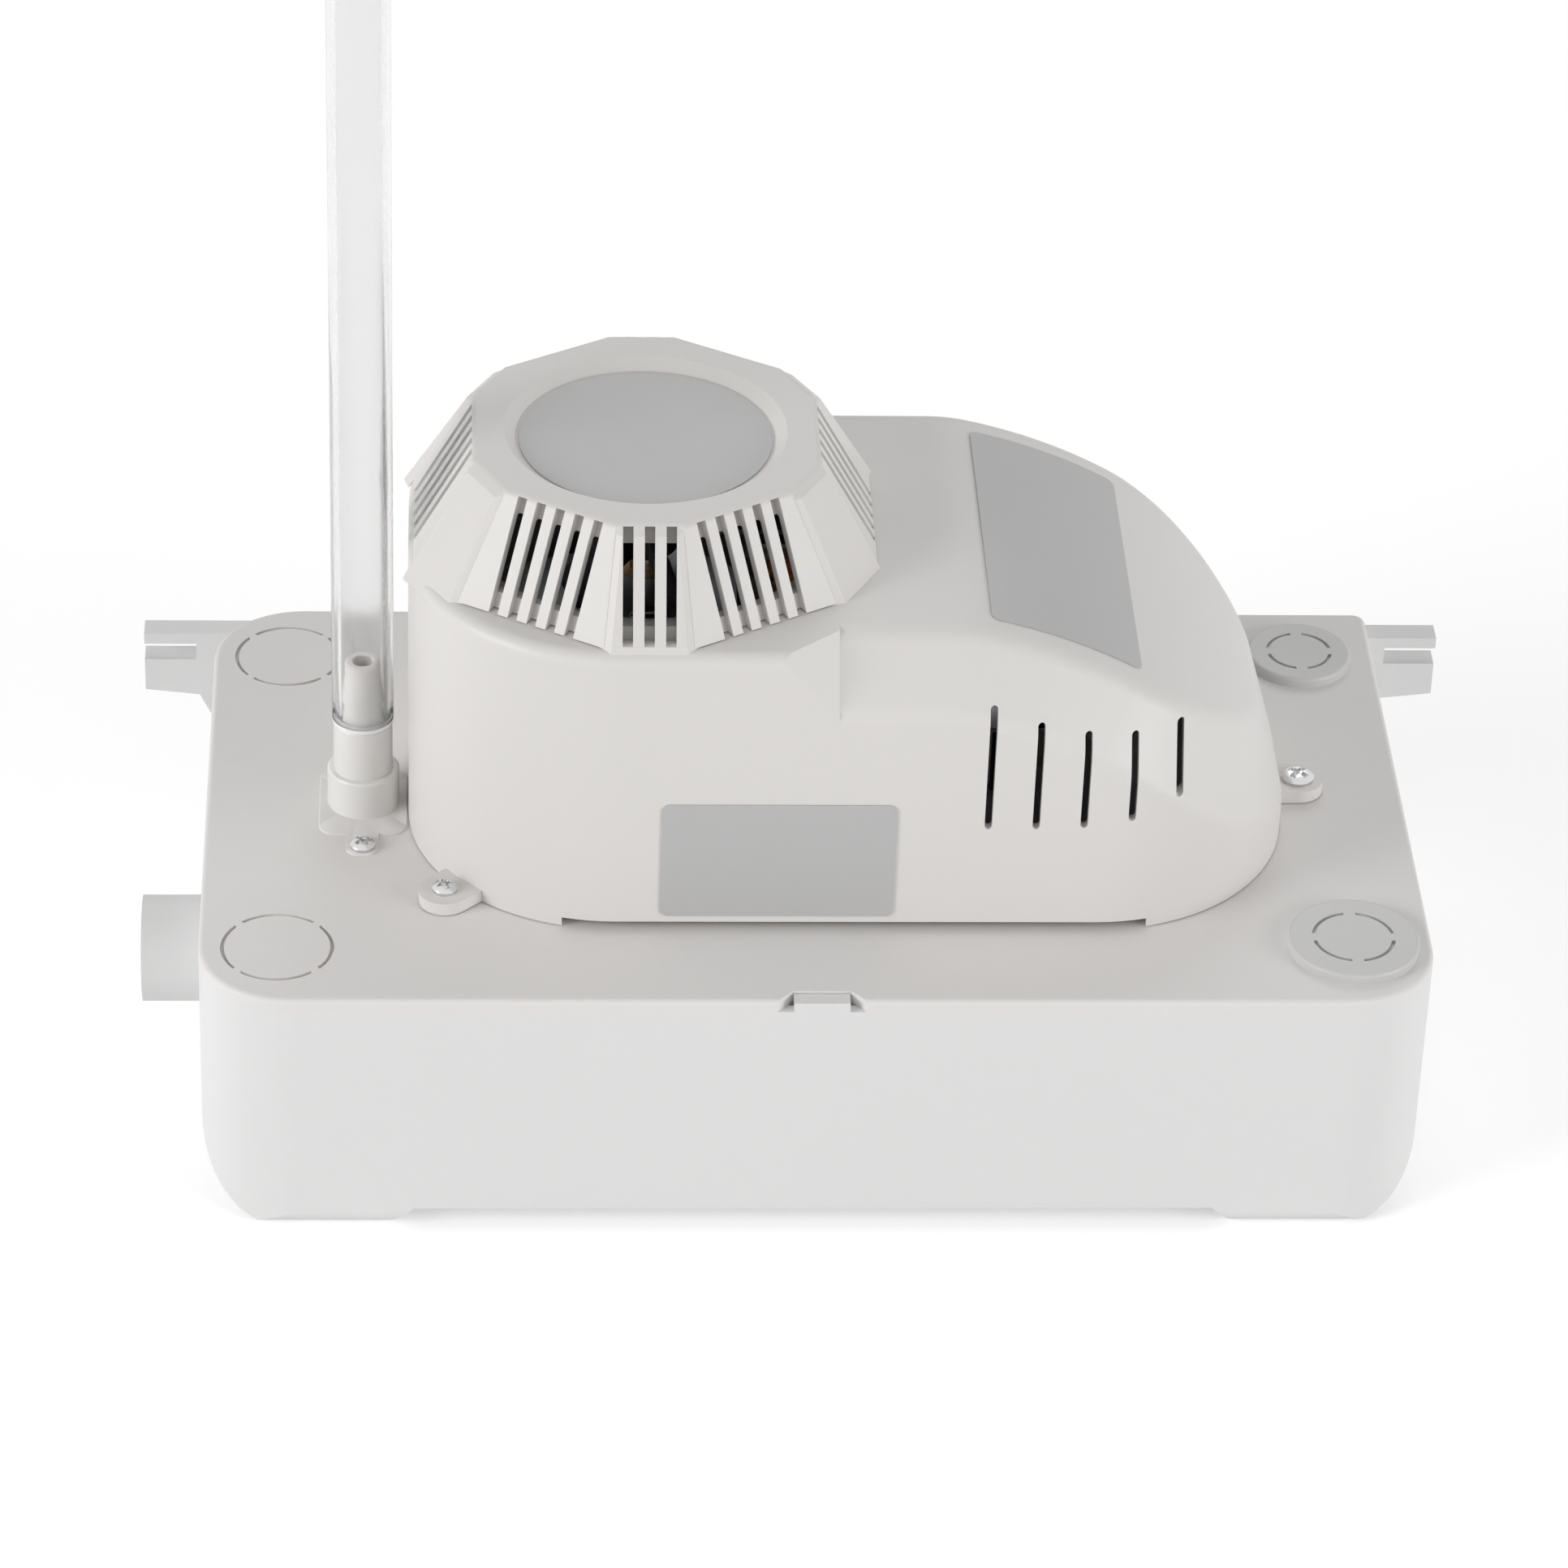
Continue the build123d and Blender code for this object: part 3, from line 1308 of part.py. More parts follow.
pieces = {
    "tank": make_tank,
    "tank_lid": make_lid,
    "motor_cover": make_cover,
    "vent_cap": make_cap,
    "cap_label": make_cap_label,
    "front_label": make_front_label,
    "roof_label": make_roof_label,
    "inlet_plug_front": lambda: make_plug(front_plug_y, front_plug_radius),
    "inlet_plug_rear": lambda: make_plug(rear_plug_y, rear_plug_radius),
    "cover_screws": make_cover_screws,
    "valve_body": make_valve_body,
    "check_ball": make_check_ball,
    "valve_seal": make_valve_seal,
    "valve_retainer": make_retainer,
    "retainer_screw": make_retainer_screw,
    "discharge_hose": make_hose,
    "discharge_tube": make_discharge_tube,
    "stator_core": make_stator_core,
    "coil_bobbin": make_bobbin,
    "coil_winding": make_winding,
    "upper_bearing_bracket": lambda: bearing_bracket(core_top, 1),
    "lower_bearing_bracket": lambda: bearing_bracket(core_bottom, -1),
    "shaft_bearings": make_bearings,
    "motor_screws": make_motor_screws,
    "rotor": make_rotor,
    "motor_shaft": make_shaft,
    "cooling_fan": make_fan,
    "impeller": make_impeller,
    "pump_housing": make_pump_housing,
    "volute_plate": make_volute_plate,
    "inlet_strainer": make_strainer,
    "pump_screws": make_pump_screws,
    "float_body": make_float,
    "float_arm": make_float_arm,
    "float_bracket": make_float_bracket,
    "float_pin": make_float_pin,
    "float_rod": make_float_rod,
    "switch_lever": make_switch_lever,
    "lever_pin": make_lever_pin,
    "float_switch": lambda: make_switch(1),
    "overflow_switch": lambda: make_switch(0),
    "switch_screws": make_switch_screws,
    "switch_bracket": make_switch_bracket,
    "bracket_screws": make_bracket_screws,
    "cord_gland": make_cord_gland,
}

os.makedirs("parts", exist_ok=True)
for name, make in pieces.items():
    export_step(make(), f"parts/{name}.step")
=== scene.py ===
import math
import bpy
import numpy as np
from mathutils import Matrix, Vector


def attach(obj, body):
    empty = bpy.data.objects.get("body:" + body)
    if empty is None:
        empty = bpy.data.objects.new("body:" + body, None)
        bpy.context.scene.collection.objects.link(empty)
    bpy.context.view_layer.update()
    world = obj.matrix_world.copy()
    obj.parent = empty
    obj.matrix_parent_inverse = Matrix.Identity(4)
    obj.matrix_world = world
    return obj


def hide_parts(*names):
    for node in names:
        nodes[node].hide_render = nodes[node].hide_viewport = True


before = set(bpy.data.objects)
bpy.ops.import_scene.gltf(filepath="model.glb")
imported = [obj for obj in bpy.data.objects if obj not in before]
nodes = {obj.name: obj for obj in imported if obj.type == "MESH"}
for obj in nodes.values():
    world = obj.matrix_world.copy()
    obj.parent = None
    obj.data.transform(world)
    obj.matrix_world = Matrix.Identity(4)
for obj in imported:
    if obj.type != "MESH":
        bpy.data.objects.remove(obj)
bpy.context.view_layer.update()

millimetre = 0.001
valveMiddle = (-0.1035, -0.0015)


# camera: a long lens looking down at the front, turned a little to the right
cameraView = {
    "focalPixels": 8000.0,
    "imagePixels": 1932.0,
    "sensor": 36.0,
    "pitchDown": 34.5,
    "turnRight": 3.5646,
    "roll": 2.1685,
    "place": (-0.0832, -1.2465, 0.9263),
    "clipNear": 0.05,
    "clipFar": 60.0,
}


def makeCamera():
    # axes from turn, pitch and roll: x is to the right of the picture, y is up, z points back
    pitch = math.radians(cameraView["pitchDown"])
    turn = math.radians(cameraView["turnRight"])
    roll = math.radians(cameraView["roll"])
    forward = Vector((math.sin(turn) * math.cos(pitch), math.cos(turn) * math.cos(pitch), -math.sin(pitch)))
    level = Vector((math.cos(turn), -math.sin(turn), 0.0))
    above = level.cross(forward)
    right = level * math.cos(roll) + above * math.sin(roll)
    up = above * math.cos(roll) - level * math.sin(roll)
    data = bpy.data.cameras.new("camera")
    data.sensor_fit = "AUTO"
    data.sensor_width = cameraView["sensor"]
    data.lens = cameraView["focalPixels"] / cameraView["imagePixels"] * cameraView["sensor"]
    data.clip_start = cameraView["clipNear"]
    data.clip_end = cameraView["clipFar"]
    camera = bpy.data.objects.new("camera", data)
    bpy.context.scene.collection.objects.link(camera)
    turned = Matrix((right, up, -forward)).transposed().to_4x4()
    camera.matrix_world = Matrix.Translation(Vector(cameraView["place"])) @ turned
    bpy.context.scene.camera = camera
    print("camera made")


# helpers for meshes worked out as whole arrays
def gridFaces(rows, columns, closeRows=False, closeColumns=False):
    # quads of a grid of points, row by row, wrapped round where a direction is closed
    lastRow = rows if closeRows else rows - 1
    lastColumn = columns if closeColumns else columns - 1
    row, column = np.meshgrid(np.arange(lastRow), np.arange(lastColumn), indexing="ij")
    nextRow = (row + 1) % rows
    nextColumn = (column + 1) % columns
    corners = (row * columns + column, nextRow * columns + column,
               nextRow * columns + nextColumn, row * columns + nextColumn)
    return np.stack(corners, axis=-1).reshape(-1, 4)


def closedFaces(rows, columns):
    # triangles of a turned surface whose rings end in a pole point at each end, stored after the rings
    quads = gridFaces(rows, columns, closeColumns=True)
    sides = np.concatenate([quads[:, [0, 1, 2]], quads[:, [0, 2, 3]]])
    column = np.arange(columns)
    beside = (column + 1) % columns
    firstPole = np.full(columns, rows * columns)
    lastRing = (rows - 1) * columns
    start = np.stack([firstPole, column, beside], axis=-1)
    end = np.stack([firstPole + 1, lastRing + beside, lastRing + column], axis=-1)
    return np.concatenate([sides, start, end])


def ringAngles(sides):
    return np.linspace(0.0, 2 * math.pi, sides, endpoint=False)


def turnedPoints(radii, heights, middle, sides):
    # x = X + r cos a, y = Y + r sin a, z = h: a profile (r, h) turned about an upright axis, ring by ring
    angle = ringAngles(sides)[None, :]
    x = middle[0] + radii[:, None] * np.cos(angle)
    y = middle[1] + radii[:, None] * np.sin(angle)
    z = np.repeat(heights[:, None], sides, axis=1)
    return np.stack([x, y, z], axis=-1).reshape(-1, 3)


def meshFromArrays(name, points, faces, smooth=True, sharpAngle=None):
    mesh = bpy.data.meshes.new(name)
    mesh.vertices.add(len(points))
    mesh.vertices.foreach_set("co", np.asarray(points, np.float32).ravel())
    mesh.loops.add(faces.size)
    mesh.loops.foreach_set("vertex_index", faces.astype(np.int32).ravel())
    mesh.polygons.add(len(faces))
    mesh.polygons.foreach_set("loop_start", np.arange(0, faces.size, faces.shape[1], dtype=np.int32))
    mesh.polygons.foreach_set("use_smooth", np.full(len(faces), smooth))
    mesh.update(calc_edges=True)
    mesh.validate()
    if sharpAngle is not None:
        mesh.set_sharp_from_angle(angle=math.radians(sharpAngle))
    piece = bpy.data.objects.new(name, mesh)
    bpy.context.scene.collection.objects.link(piece)
    return piece


# node groups that several finishes share
def newGroup(name, inputs, outputs):
    group = bpy.data.node_groups.new(name, "ShaderNodeTree")
    for label, kind, value in inputs:
        socket = group.interface.new_socket(label, in_out="INPUT", socket_type=kind)
        socket.default_value = value
    for label, kind in outputs:
        group.interface.new_socket(label, in_out="OUTPUT", socket_type=kind)
    entry = group.nodes.new("NodeGroupInput")
    leave = group.nodes.new("NodeGroupOutput")
    return group, entry, leave


def wire(tree, source, target):
    tree.links.new(source, target)


def mathNode(tree, operation, first, second):
    node = tree.nodes.new("ShaderNodeMath")
    node.operation = operation
    for socket, value in zip(node.inputs, (first, second)):
        if isinstance(value, (int, float)):
            socket.default_value = value
        else:
            wire(tree, value, socket)
    return node.outputs["Value"]


def noiseNode(tree, place, scale, detail=3.0, roughness=0.5):
    node = tree.nodes.new("ShaderNodeTexNoise")
    node.inputs["Detail"].default_value = detail
    node.inputs["Roughness"].default_value = roughness
    wire(tree, place, node.inputs["Vector"])
    if isinstance(scale, (int, float)):
        node.inputs["Scale"].default_value = scale
    else:
        wire(tree, scale, node.inputs["Scale"])
    return node.outputs["Fac"]


def objectPlace(tree):
    return tree.nodes.new("ShaderNodeTexCoord").outputs["Object"]


def mixColour(tree, share, first, second):
    node = tree.nodes.new("ShaderNodeMix")
    node.data_type = "RGBA"
    node.clamp_factor = True
    wire(tree, share, node.inputs["Factor"])
    for label, value in (("A", first), ("B", second)):
        socket = [s for s in node.inputs if s.name == label and s.type == "RGBA"][0]
        if isinstance(value, (tuple, list)):
            socket.default_value = value
        else:
            wire(tree, value, socket)
    return [s for s in node.outputs if s.type == "RGBA"][0]


mouldedMix = {
    "coarseShare": 0.22,
    "speck": 0.12,
    "fineHeight": 0.6,
    "coarseHeight": 0.4,
    "middle": 0.5,
    "lightReach": 0.002,
}


def buildMouldedGroup():
    # moulded plastic: slow colour drift with fine specks, gloss that drifts with it, and a grain of two sizes
    group, entry, leave = newGroup("mouldedSurface", [
        ("Colour", "NodeSocketColor", (0.8, 0.8, 0.8, 1.0)),
        ("Deep Colour", "NodeSocketColor", (0.7, 0.7, 0.7, 1.0)),
        ("Drift Scale", "NodeSocketFloat", 25.0),
        ("Drift", "NodeSocketFloat", 0.5),
        ("Grain Scale", "NodeSocketFloat", 1500.0),
        ("Roughness", "NodeSocketFloat", 0.5),
        ("Gloss Drift", "NodeSocketFloat", 0.1),
    ], [("Colour", "NodeSocketColor"), ("Roughness", "NodeSocketFloat"), ("Grain", "NodeSocketFloat")])
    place = objectPlace(group)
    drift = noiseNode(group, place, entry.outputs["Drift Scale"], 4.0, 0.6)
    fine = noiseNode(group, place, entry.outputs["Grain Scale"], 2.0, 0.7)
    coarseScale = mathNode(group, "MULTIPLY", entry.outputs["Grain Scale"], mouldedMix["coarseShare"])
    coarse = noiseNode(group, place, coarseScale, 2.0, 0.6)
    share = mathNode(group, "MULTIPLY", drift, entry.outputs["Drift"])
    speck = mathNode(group, "MULTIPLY", fine, mouldedMix["speck"])
    share = mathNode(group, "ADD", share, speck)
    colour = mixColour(group, share, entry.outputs["Colour"], entry.outputs["Deep Colour"])
    wire(group, colour, leave.inputs["Colour"])
    swing = mathNode(group, "SUBTRACT", drift, mouldedMix["middle"])
    swing = mathNode(group, "MULTIPLY", swing, entry.outputs["Gloss Drift"])
    wire(group, mathNode(group, "ADD", entry.outputs["Roughness"], swing), leave.inputs["Roughness"])
    fineHeight = mathNode(group, "MULTIPLY", fine, mouldedMix["fineHeight"])
    coarseHeight = mathNode(group, "MULTIPLY", coarse, mouldedMix["coarseHeight"])
    wire(group, mathNode(group, "ADD", fineHeight, coarseHeight), leave.inputs["Grain"])
    return group


brushedMix = {
    "stainScale": 140.0,
    "half": 0.5,
    "glossSwing": 0.25,
    "lineStrength": 0.5,
}


def buildBrushedGroup():
    # drawn or ground metal: noise stretched along one direction, for colour, gloss and height
    group, entry, leave = newGroup("brushedSurface", [
        ("Colour", "NodeSocketColor", (0.6, 0.6, 0.6, 1.0)),
        ("Dark Colour", "NodeSocketColor", (0.4, 0.4, 0.4, 1.0)),
        ("Stretch", "NodeSocketVector", (1.0, 1.0, 0.05)),
        ("Line Scale", "NodeSocketFloat", 1800.0),
        ("Roughness", "NodeSocketFloat", 0.3),
    ], [("Colour", "NodeSocketColor"), ("Roughness", "NodeSocketFloat"), ("Lines", "NodeSocketFloat")])
    place = objectPlace(group)
    stretched = group.nodes.new("ShaderNodeVectorMath")
    stretched.operation = "MULTIPLY"
    wire(group, place, stretched.inputs[0])
    wire(group, entry.outputs["Stretch"], stretched.inputs[1])
    lines = noiseNode(group, stretched.outputs["Vector"], entry.outputs["Line Scale"], 3.0, 0.65)
    stain = noiseNode(group, place, brushedMix["stainScale"], 4.0, 0.6)
    share = mathNode(group, "MULTIPLY", mathNode(group, "ADD", lines, stain), brushedMix["half"])
    colour = mixColour(group, share, entry.outputs["Colour"], entry.outputs["Dark Colour"])
    wire(group, colour, leave.inputs["Colour"])
    swing = mathNode(group, "SUBTRACT", lines, brushedMix["half"])
    swing = mathNode(group, "MULTIPLY", swing, brushedMix["glossSwing"])
    wire(group, mathNode(group, "ADD", entry.outputs["Roughness"], swing), leave.inputs["Roughness"])
    wire(group, lines, leave.inputs["Lines"])
    return group


mouldedGroup = buildMouldedGroup()
brushedGroup = buildBrushedGroup()


def startMaterial(name):
    material = bpy.data.materials.new(name)
    material.use_nodes = True
    tree = material.node_tree
    return material, tree, tree.nodes["Principled BSDF"]


def bumpInto(tree, shader, height, depth, strength):
    bump = tree.nodes.new("ShaderNodeBump")
    bump.inputs["Distance"].default_value = depth
    bump.inputs["Strength"].default_value = strength
    wire(tree, height, bump.inputs["Height"])
    wire(tree, bump.outputs["Normal"], shader.inputs["Normal"])


def opaque(colour):
    return (colour[0], colour[1], colour[2], 1.0)


def moulded(name, look):
    material, tree, shader = startMaterial(name)
    surface = tree.nodes.new("ShaderNodeGroup")
    surface.node_tree = mouldedGroup
    surface.inputs["Colour"].default_value = opaque(look["colour"])
    surface.inputs["Deep Colour"].default_value = opaque(look["deep"])
    surface.inputs["Drift Scale"].default_value = look["driftScale"]
    surface.inputs["Drift"].default_value = look["drift"]
    surface.inputs["Grain Scale"].default_value = look["grainScale"]
    surface.inputs["Roughness"].default_value = look["roughness"]
    surface.inputs["Gloss Drift"].default_value = look["glossDrift"]
    wire(tree, surface.outputs["Colour"], shader.inputs["Base Color"])
    wire(tree, surface.outputs["Roughness"], shader.inputs["Roughness"])
    bumpInto(tree, shader, surface.outputs["Grain"], look["grainDepth"], look["grainStrength"])
    shader.inputs["Specular IOR Level"].default_value = look["shine"]
    shader.inputs["Subsurface Weight"].default_value = look.get("depthLight", 0.0)
    shader.inputs["Subsurface Scale"].default_value = mouldedMix["lightReach"]
    return material


def brushed(name, look):
    material, tree, shader = startMaterial(name)
    surface = tree.nodes.new("ShaderNodeGroup")
    surface.node_tree = brushedGroup
    surface.inputs["Colour"].default_value = opaque(look["colour"])
    surface.inputs["Dark Colour"].default_value = opaque(look["deep"])
    surface.inputs["Stretch"].default_value = look["stretch"]
    surface.inputs["Line Scale"].default_value = look["lineScale"]
    surface.inputs["Roughness"].default_value = look["roughness"]
    wire(tree, surface.outputs["Colour"], shader.inputs["Base Color"])
    wire(tree, surface.outputs["Roughness"], shader.inputs["Roughness"])
    shader.inputs["Metallic"].default_value = 1.0
    bumpInto(tree, shader, surface.outputs["Lines"], look["lineDepth"], brushedMix["lineStrength"])
    return material


plasticLooks = {
    "tankPlastic": {"colour": (0.745, 0.742, 0.74), "deep": (0.70, 0.697, 0.695), "driftScale": 9.0,
                    "drift": 0.6, "grainScale": 1600.0, "grainDepth": 0.00006, "grainStrength": 0.35,
                    "roughness": 0.46, "glossDrift": 0.10, "shine": 0.45},
    "lidPlastic": {"colour": (0.77, 0.752, 0.738), "deep": (0.70, 0.683, 0.67), "driftScale": 14.0,
                   "drift": 0.6, "grainScale": 1300.0, "grainDepth": 0.00010, "grainStrength": 0.5,
                   "roughness": 0.58, "glossDrift": 0.12, "shine": 0.4},
    "coverPlastic": {"colour": (0.705, 0.686, 0.668), "deep": (0.655, 0.637, 0.62), "driftScale": 12.0,
                     "drift": 0.5, "grainScale": 1500.0, "grainDepth": 0.00006, "grainStrength": 0.35,
                     "roughness": 0.44, "glossDrift": 0.10, "shine": 0.45},
    "plugPlastic": {"colour": (0.58, 0.577, 0.573), "deep": (0.53, 0.527, 0.523), "driftScale": 40.0,
                    "drift": 0.5, "grainScale": 1500.0, "grainDepth": 0.00005, "grainStrength": 0.3,
                    "roughness": 0.42, "glossDrift": 0.08, "shine": 0.45},
    "stickerFilm": {"colour": (0.475, 0.473, 0.472), "deep": (0.44, 0.438, 0.437), "driftScale": 60.0,
                    "drift": 0.4, "grainScale": 2600.0, "grainDepth": 0.00002, "grainStrength": 0.25,
                    "roughness": 0.36, "glossDrift": 0.06, "shine": 0.5},
    "valveNylon": {"colour": (0.78, 0.77, 0.75), "deep": (0.70, 0.69, 0.67), "driftScale": 90.0,
                   "drift": 0.5, "grainScale": 1800.0, "grainDepth": 0.00004, "grainStrength": 0.3,
                   "roughness": 0.32, "glossDrift": 0.08, "shine": 0.5, "depthLight": 0.15},
    # opaque white for the hose's clear cut end: a painted highlight for the bright arc of light there
    "cutEndPaintedHighlight": {"colour": (0.92, 0.92, 0.92), "deep": (0.86, 0.86, 0.86), "driftScale": 90.0, "drift": 0.4,
                 "grainScale": 1800.0, "grainDepth": 0.00003, "grainStrength": 0.25, "roughness": 0.2,
                 "glossDrift": 0.05, "shine": 0.6, "depthLight": 0.1},
    "blackPlastic": {"colour": (0.035, 0.035, 0.038), "deep": (0.02, 0.02, 0.022), "driftScale": 60.0,
                     "drift": 0.7, "grainScale": 1400.0, "grainDepth": 0.00008, "grainStrength": 0.4,
                     "roughness": 0.45, "glossDrift": 0.12, "shine": 0.5},
    "blackRubber": {"colour": (0.028, 0.028, 0.028), "deep": (0.045, 0.044, 0.043), "driftScale": 80.0,
                    "drift": 0.8, "grainScale": 900.0, "grainDepth": 0.00012, "grainStrength": 0.5,
                    "roughness": 0.75, "glossDrift": 0.1, "shine": 0.3},
    "strainerPlastic": {"colour": (0.07, 0.09, 0.12), "deep": (0.04, 0.05, 0.07), "driftScale": 70.0,
                        "drift": 0.7, "grainScale": 1400.0, "grainDepth": 0.00008, "grainStrength": 0.4,
                        "roughness": 0.5, "glossDrift": 0.1, "shine": 0.5},
    "floatFoam": {"colour": (0.74, 0.74, 0.70), "deep": (0.62, 0.62, 0.58), "driftScale": 120.0,
                  "drift": 0.7, "grainScale": 700.0, "grainDepth": 0.00018, "grainStrength": 0.7,
                  "roughness": 0.8, "glossDrift": 0.1, "shine": 0.3},
    "bobbinNylon": {"colour": (0.62, 0.60, 0.50), "deep": (0.54, 0.52, 0.42), "driftScale": 80.0,
                    "drift": 0.6, "grainScale": 1500.0, "grainDepth": 0.00005, "grainStrength": 0.3,
                    "roughness": 0.5, "glossDrift": 0.1, "shine": 0.4},
}

metalLooks = {
    "brightScrew": {"colour": (0.78, 0.78, 0.78), "deep": (0.58, 0.58, 0.59), "stretch": (1.0, 1.0, 1.0),
                    "lineScale": 1400.0, "roughness": 0.24, "lineDepth": 0.00002},
    "laminatedCore": {"colour": (0.42, 0.43, 0.45), "deep": (0.20, 0.20, 0.21),
                      "stretch": (0.02, 0.02, 1.0), "lineScale": 2200.0, "roughness": 0.48,
                      "lineDepth": 0.00015},
    "platedBracket": {"colour": (0.70, 0.71, 0.72), "deep": (0.52, 0.53, 0.55), "stretch": (0.1, 1.0, 1.0),
                      "lineScale": 1200.0, "roughness": 0.34, "lineDepth": 0.00003},
    "groundShaft": {"colour": (0.76, 0.76, 0.77), "deep": (0.60, 0.60, 0.61), "stretch": (0.05, 0.05, 1.0),
                    "lineScale": 2600.0, "roughness": 0.2, "lineDepth": 0.00002},
    "bronzeBush": {"colour": (0.55, 0.38, 0.20), "deep": (0.35, 0.22, 0.10), "stretch": (1.0, 1.0, 1.0),
                   "lineScale": 1500.0, "roughness": 0.42, "lineDepth": 0.00005},
    "woundCopper": {"colour": (0.62, 0.25, 0.11), "deep": (0.32, 0.10, 0.04), "stretch": (0.03, 0.03, 1.0),
                    "lineScale": 1600.0, "roughness": 0.36, "lineDepth": 0.0002},
}

finishes = {}
for finishName, look in plasticLooks.items():
    finishes[finishName] = moulded(finishName, look)
for finishName, look in metalLooks.items():
    finishes[finishName] = brushed(finishName, look)

nodeFinish = {
    "tankPlastic": ["tank"],
    "lidPlastic": ["tank_lid", "valve_retainer"],
    "coverPlastic": ["motor_cover", "vent_cap"],
    "plugPlastic": ["inlet_plug_front", "inlet_plug_rear"],
    "stickerFilm": ["cap_label", "front_label", "roof_label"],
    "valveNylon": ["valve_body"],
    "blackRubber": ["valve_seal", "check_ball", "cord_gland"],
    "blackPlastic": ["discharge_tube", "cooling_fan", "impeller", "pump_housing", "volute_plate", "float_arm",
                     "float_bracket", "float_rod", "float_switch", "overflow_switch"],
    "strainerPlastic": ["inlet_strainer"],
    "floatFoam": ["float_body"],
    "bobbinNylon": ["coil_bobbin"],
    "brightScrew": ["cover_screws", "retainer_screw", "motor_screws", "pump_screws", "switch_screws",
                    "bracket_screws"],
    "laminatedCore": ["stator_core", "rotor"],
    "platedBracket": ["upper_bearing_bracket", "lower_bearing_bracket", "switch_bracket"],
    "groundShaft": ["motor_shaft", "float_pin", "lever_pin", "switch_lever"],
    "bronzeBush": ["shaft_bearings"],
    "woundCopper": ["coil_winding"],
}


def dress(piece, material):
    piece.data.materials.clear()
    piece.data.materials.append(material)


def dressNodes():
    for finishName, names in nodeFinish.items():
        for name in names:
            dress(nodes[name], finishes[finishName])
    print("nodes dressed")


# the clear hose that goes straight up out of the picture
hose = {
    "middle": valveMiddle,
    "heights": (0.087, 0.110, 0.160, 0.210, 0.260, 0.288),
    "outerRadius": 7.1 * millimetre,
    "innerRadius": 5.0 * millimetre,
    "lipRadius": 0.35 * millimetre,
    "sides": 64,
    "colour": (0.90, 0.90, 0.90, 1.0),
    "roughness": 0.13,
    "ior": 1.2,
    "coat": 0.5,
    "hazeScale": 60.0,
    "drawScale": 500.0,
    "drawStretch": (1.0, 1.0, 0.03),
    "drawDepth": 0.0001,
    "drawStrength": 0.25,
    "cutEnd": 0.0012,
    "cutEndShare": 0.95,
    "lipPoints": 4,
    "lineSteps": 12,
    "lineOrder": 3,
}


def hoseMaterial():
    material, tree, shader = startMaterial("clearVinyl")
    shader.inputs["Base Color"].default_value = hose["colour"]
    shader.inputs["Transmission Weight"].default_value = 1.0
    shader.inputs["IOR"].default_value = hose["ior"]
    shader.inputs["Coat Weight"].default_value = hose["coat"]
    place = objectPlace(tree)
    haze = noiseNode(tree, place, hose["hazeScale"], 3.0, 0.6)
    rough = mathNode(tree, "MULTIPLY", haze, hose["roughness"] * 2)
    wire(tree, rough, shader.inputs["Roughness"])
    stretched = tree.nodes.new("ShaderNodeVectorMath")
    stretched.operation = "MULTIPLY"
    stretched.inputs[1].default_value = hose["drawStretch"]
    wire(tree, place, stretched.inputs[0])
    drawn = noiseNode(tree, stretched.outputs["Vector"], hose["drawScale"], 2.0, 0.5)
    bumpInto(tree, shader, drawn, hose["drawDepth"], hose["drawStrength"])
    return material


def makeHoseLine():
    curve = bpy.data.curves.new("hose_line", "CURVE")
    curve.dimensions = "3D"
    curve.resolution_u = hose["lineSteps"]
    spline = curve.splines.new("NURBS")
    spline.points.add(len(hose["heights"]) - 1)
    for point, height in zip(spline.points, hose["heights"]):
        point.co = (hose["middle"][0], hose["middle"][1], height, 1.0)
    spline.order_u = hose["lineOrder"]
    spline.use_endpoint_u = True
    line = bpy.data.objects.new("hose_line", curve)
    bpy.context.scene.collection.objects.link(line)
    bpy.context.view_layer.update()
    sampled = bpy.data.meshes.new_from_object(line)
    path = np.array([tuple(v.co) for v in sampled.vertices])
    bpy.data.objects.remove(line)
    bpy.data.meshes.remove(sampled)
    return path


def makeHose():
    # a wall carried along the line: outer skin up, a rounded lip, inner skin down, and a rounded lip;
    # one more ring just above the foot parts off the cut end, whose faces are painted opaque white as a
    # painted highlight
    path = makeHoseLine()
    outer, inner, lip = hose["outerRadius"], hose["innerRadius"], hose["lipRadius"]
    quarter = np.linspace(0.0, math.pi / 2, hose["lipPoints"])
    up = path[:, 2].copy()
    up[0] += lip
    up[-1] -= lip
    up = np.insert(up, 1, path[0, 2] + hose["cutEnd"] * hose["cutEndShare"])
    radii = np.concatenate([
        np.full(len(up), outer),
        outer - lip + lip * np.cos(quarter[1:]),
        inner + lip - lip * np.sin(quarter[:-1]),
        np.full(len(up), inner),
        inner + lip - lip * np.cos(quarter[1:]),
        outer - lip + lip * np.sin(quarter[:-1]),
    ])
    heights = np.concatenate([
        up, up[-1] + lip * np.sin(quarter[1:]), up[-1] + lip * np.cos(quarter[:-1]),
        up[::-1], up[0] - lip * np.sin(quarter[1:]), up[0] - lip * np.cos(quarter[:-1]),
    ])
    points = turnedPoints(radii, heights, path[0], hose["sides"])
    faces = gridFaces(len(radii), hose["sides"], closeRows=True, closeColumns=True)[:, ::-1]
    piece = meshFromArrays("clear_hose", points, faces)
    dress(piece, hoseMaterial())
    piece.data.materials.append(finishes["cutEndPaintedHighlight"])
    # faces below the cut-end ring take the opaque white painted highlight
    lowest = points[faces][:, :, 2].max(axis=1) < path[0, 2] + hose["cutEnd"]
    piece.data.polygons.foreach_set("material_index", lowest.astype(np.int32))
    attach(piece, "housing")
    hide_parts("discharge_hose")


